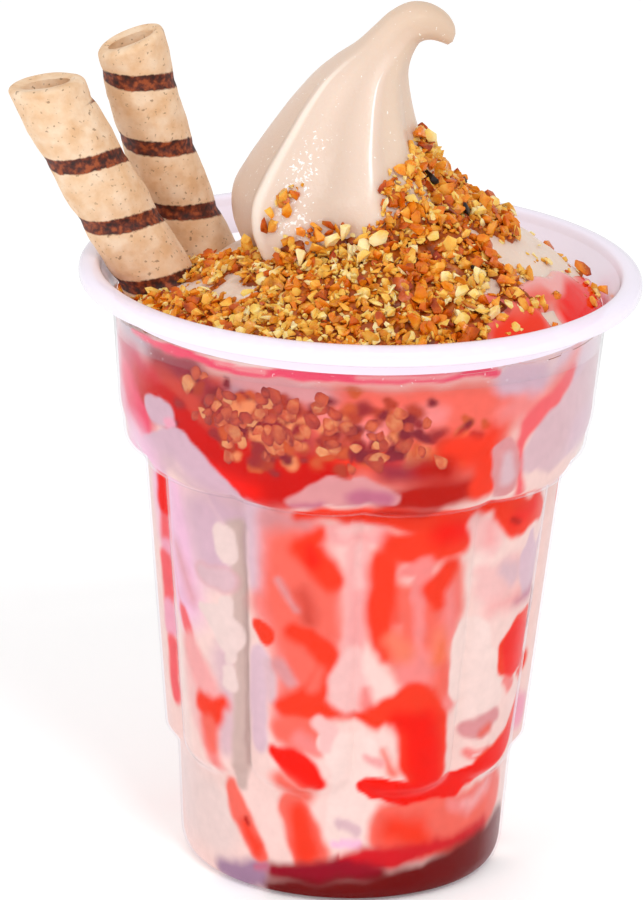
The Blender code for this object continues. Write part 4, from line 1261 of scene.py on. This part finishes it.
def wafer_crust():
    """Pale baked wafer with a dark chocolate stripe along each turn."""
    made, tree, shader = new_material("wafer_roll", Roughness=0.62)
    turns = node(tree, "ShaderNodeAttribute", attribute_name="turns").outputs["Fac"]
    fine = node(tree, "ShaderNodeTexNoise", {"Vector": place(tree), "Scale": 900.0, "Detail": 4.0})
    ragged = math_node(tree, "MULTIPLY_ADD", fine.outputs["Fac"], 0.07, turns)
    part = math_node(tree, "FRACT", math_node(tree, "ADD", ragged, 0.475))
    from_stripe = math_node(tree, "ABSOLUTE", math_node(tree, "SUBTRACT", part, 0.5))
    stripe = ramp(tree, from_stripe, ((0.105, 1.0), (0.13, 0.0)))
    stripe = math_node(tree, "MULTIPLY", stripe, node(tree, "ShaderNodeAttribute", attribute_name="striped").outputs["Fac"])
    chocolate = ramp(tree, fine.outputs["Fac"], ((0.36, colour(46, 8, 0)), (0.5, colour(96, 32, 6)),
                                                 (0.64, colour(156, 72, 28))))
    patches = node(tree, "ShaderNodeTexNoise", {"Vector": place(tree), "Scale": 330.0, "Detail": 5.0})
    baked = ramp(tree, patches.outputs["Fac"], ((0.3, colour(224, 180, 136)), (0.48, colour(233, 196, 158)),
                                                (0.66, colour(240, 211, 180))))
    pale = use_group(tree, MOTTLE, {"Color": baked, "Scale": 900.0, "Amount": 0.16})
    specks = node(tree, "ShaderNodeTexNoise", {"Vector": place(tree), "Scale": 1400.0, "Detail": 1.0})
    dotted = mix_colours(tree, ramp(tree, specks.outputs["Fac"], ((0.66, 0.0), (0.74, 0.6))),
                         pale.outputs["Color"], colour(112, 78, 48))
    tree.links.new(mix_colours(tree, stripe, dotted, chocolate), shader.inputs["Base Color"])
    bump(tree, shader, fine.outputs["Fac"], 0.0003, 0.5)
    return made


def floor_material():
    made, tree, shader = new_material("pale_floor", Roughness=0.9)
    shader.inputs["Emission Color"].default_value = (1, 1, 1, 1)
    shader.inputs["Emission Strength"].default_value = 0.15
    tone = use_group(tree, MOTTLE, {"Color": (0.99, 0.99, 0.99, 1), "Scale": 3.0, "Amount": 0.01})
    tree.links.new(tone.outputs["Color"], shader.inputs["Base Color"])
    return made


# ---- stage -----------------------------------------------------------------------------------------------


def make_floor():
    bpy.ops.mesh.primitive_plane_add(size=12, location=(0, 2, 0))
    floor = bpy.context.object
    floor.name = "floor"
    floor.data.materials.append(floor_material())


def make_light(name, place, aim, size, power, shade=(1, 1, 1)):
    lamp = bpy.data.lights.new(name, "AREA")
    lamp.size, lamp.energy, lamp.color = size, power, shade
    light = bpy.data.objects.new(name, lamp)
    bpy.context.scene.collection.objects.link(light)
    light.location = place
    light.rotation_euler = (Vector(aim) - Vector(place)).to_track_quat("-Z", "Y").to_euler()


def make_world():
    world = bpy.data.worlds.new("studio")
    bpy.context.scene.world = world
    world.use_nodes = True
    background = world.node_tree.nodes["Background"]
    background.inputs["Color"].default_value = (1.0, 1.0, 1.0, 1)
    background.inputs["Strength"].default_value = 0.8


def make_camera():
    place, aim = Vector((0, -0.9393, 0.3930)), Vector((-0.0056, 0, 0.0722))
    roll = math.radians(1.9)
    forward = (aim - place).normalized()
    right = forward.cross(Vector((0, 0, 1))).normalized()
    above = right.cross(forward)
    across = right * math.cos(roll) + above * math.sin(roll)
    upward = above * math.cos(roll) - right * math.sin(roll)
    lens = bpy.data.cameras.new("camera")
    lens.lens, lens.sensor_width, lens.sensor_fit = 232.8, 36, "AUTO"
    camera = bpy.data.objects.new("camera", lens)
    bpy.context.scene.collection.objects.link(camera)
    camera.matrix_world = Matrix((across, upward, -forward)).transposed().to_4x4()
    camera.location = place
    bpy.context.scene.camera = camera


# ---- scene -----------------------------------------------------------------------------------------------


def dress(piece, slot, *nodes):
    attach(piece, "root")
    if nodes:
        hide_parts(*nodes)


def main():
    make_camera()
    make_world()
    make_floor()
    make_light("key", (0.22, -0.75, 0.95), (0, 0, 0.08), 0.22, 3.4)
    make_light("fill", (-0.7, -0.8, 0.45), (0, 0, 0.08), 0.3, 1.6)
    bpy.context.scene.view_settings.view_transform = "Standard"

    contents, cream = layered_contents(), soft_serve()
    layers = LAYERS + back_layers()
    layers = layers[:20] + nuts_behind_wall() + layers[20:]
    floor_height = WALL - BITE
    pool = wall_piece("sauce_at_bottom", lambda a: a * 0 + floor_height, pool_top, 30, contents, layers)
    filling = wall_piece("filling_with_streaks", pool_top, filling_top, 150, contents, layers)
    band = wall_piece("sauce_band", filling_top, sauce_top, 36, contents, layers)
    dress(make_cup(clear_plastic("clear_wall", 0.002, 0.22, colour(250, 232, 246), 0.08),
                   clear_plastic("milky_lip", 0.92, 0.96, colour(249, 239, 255), 0.14)), "clear_plastic", "cup")
    dress(pool, "strawberry_sauce", "sauce_pool")
    dress(filling, "soft_serve", "soft_serve_filling")
    dress(band, "strawberry_sauce", "sauce_nut_layer")
    dress(make_crown(cream, layers), "soft_serve", "soft_serve_swirl")

    pale = nut_flesh("nut_pale", (colour(184, 92, 8), colour(228, 150, 38), colour(248, 200, 96),
                                  colour(255, 234, 176)), 0.28)
    toasted = nut_flesh("nut_toasted", (colour(140, 46, 0), colour(208, 94, 4), colour(240, 142, 24),
                                        colour(254, 194, 84)), 0.28)
    skins = nut_flesh("nut_skin", (colour(90, 20, 4), colour(156, 46, 6), colour(210, 92, 20)), 0.3)
    dark = nut_flesh("dark_bit", (colour(40, 22, 18), colour(24, 12, 10)), 0.3)
    # Crumb colours, darker than the nuts as painted shade in the gaps between them
    crumb = nut_flesh("crumbs_with_gap_shade", (colour(84, 26, 0), colour(164, 72, 8), colour(220, 134, 42)), 0.36)
    pressed = nut_flesh("nut_in_sauce", (colour(140, 24, 22), colour(184, 52, 28), colour(214, 90, 48),
                                         colour(234, 148, 92)), 0.5)
    dress(make_nut_core(crumb), "chopped_nuts", "nut_topping")
    for piece in make_nuts(pale, toasted, skins, dark) + [make_pressed_nuts(pressed)]:
        dress(piece, "chopped_nuts")
    dress(make_top_sauce(top_sauce()), "strawberry_sauce")
    crust = wafer_crust()
    dress(make_wafer("wafer_roll_left", WAFER_LEFT, crust), "wafer", "wafer_left")
    dress(make_wafer("wafer_roll_right", WAFER_RIGHT, crust), "wafer", "wafer_right")


main()
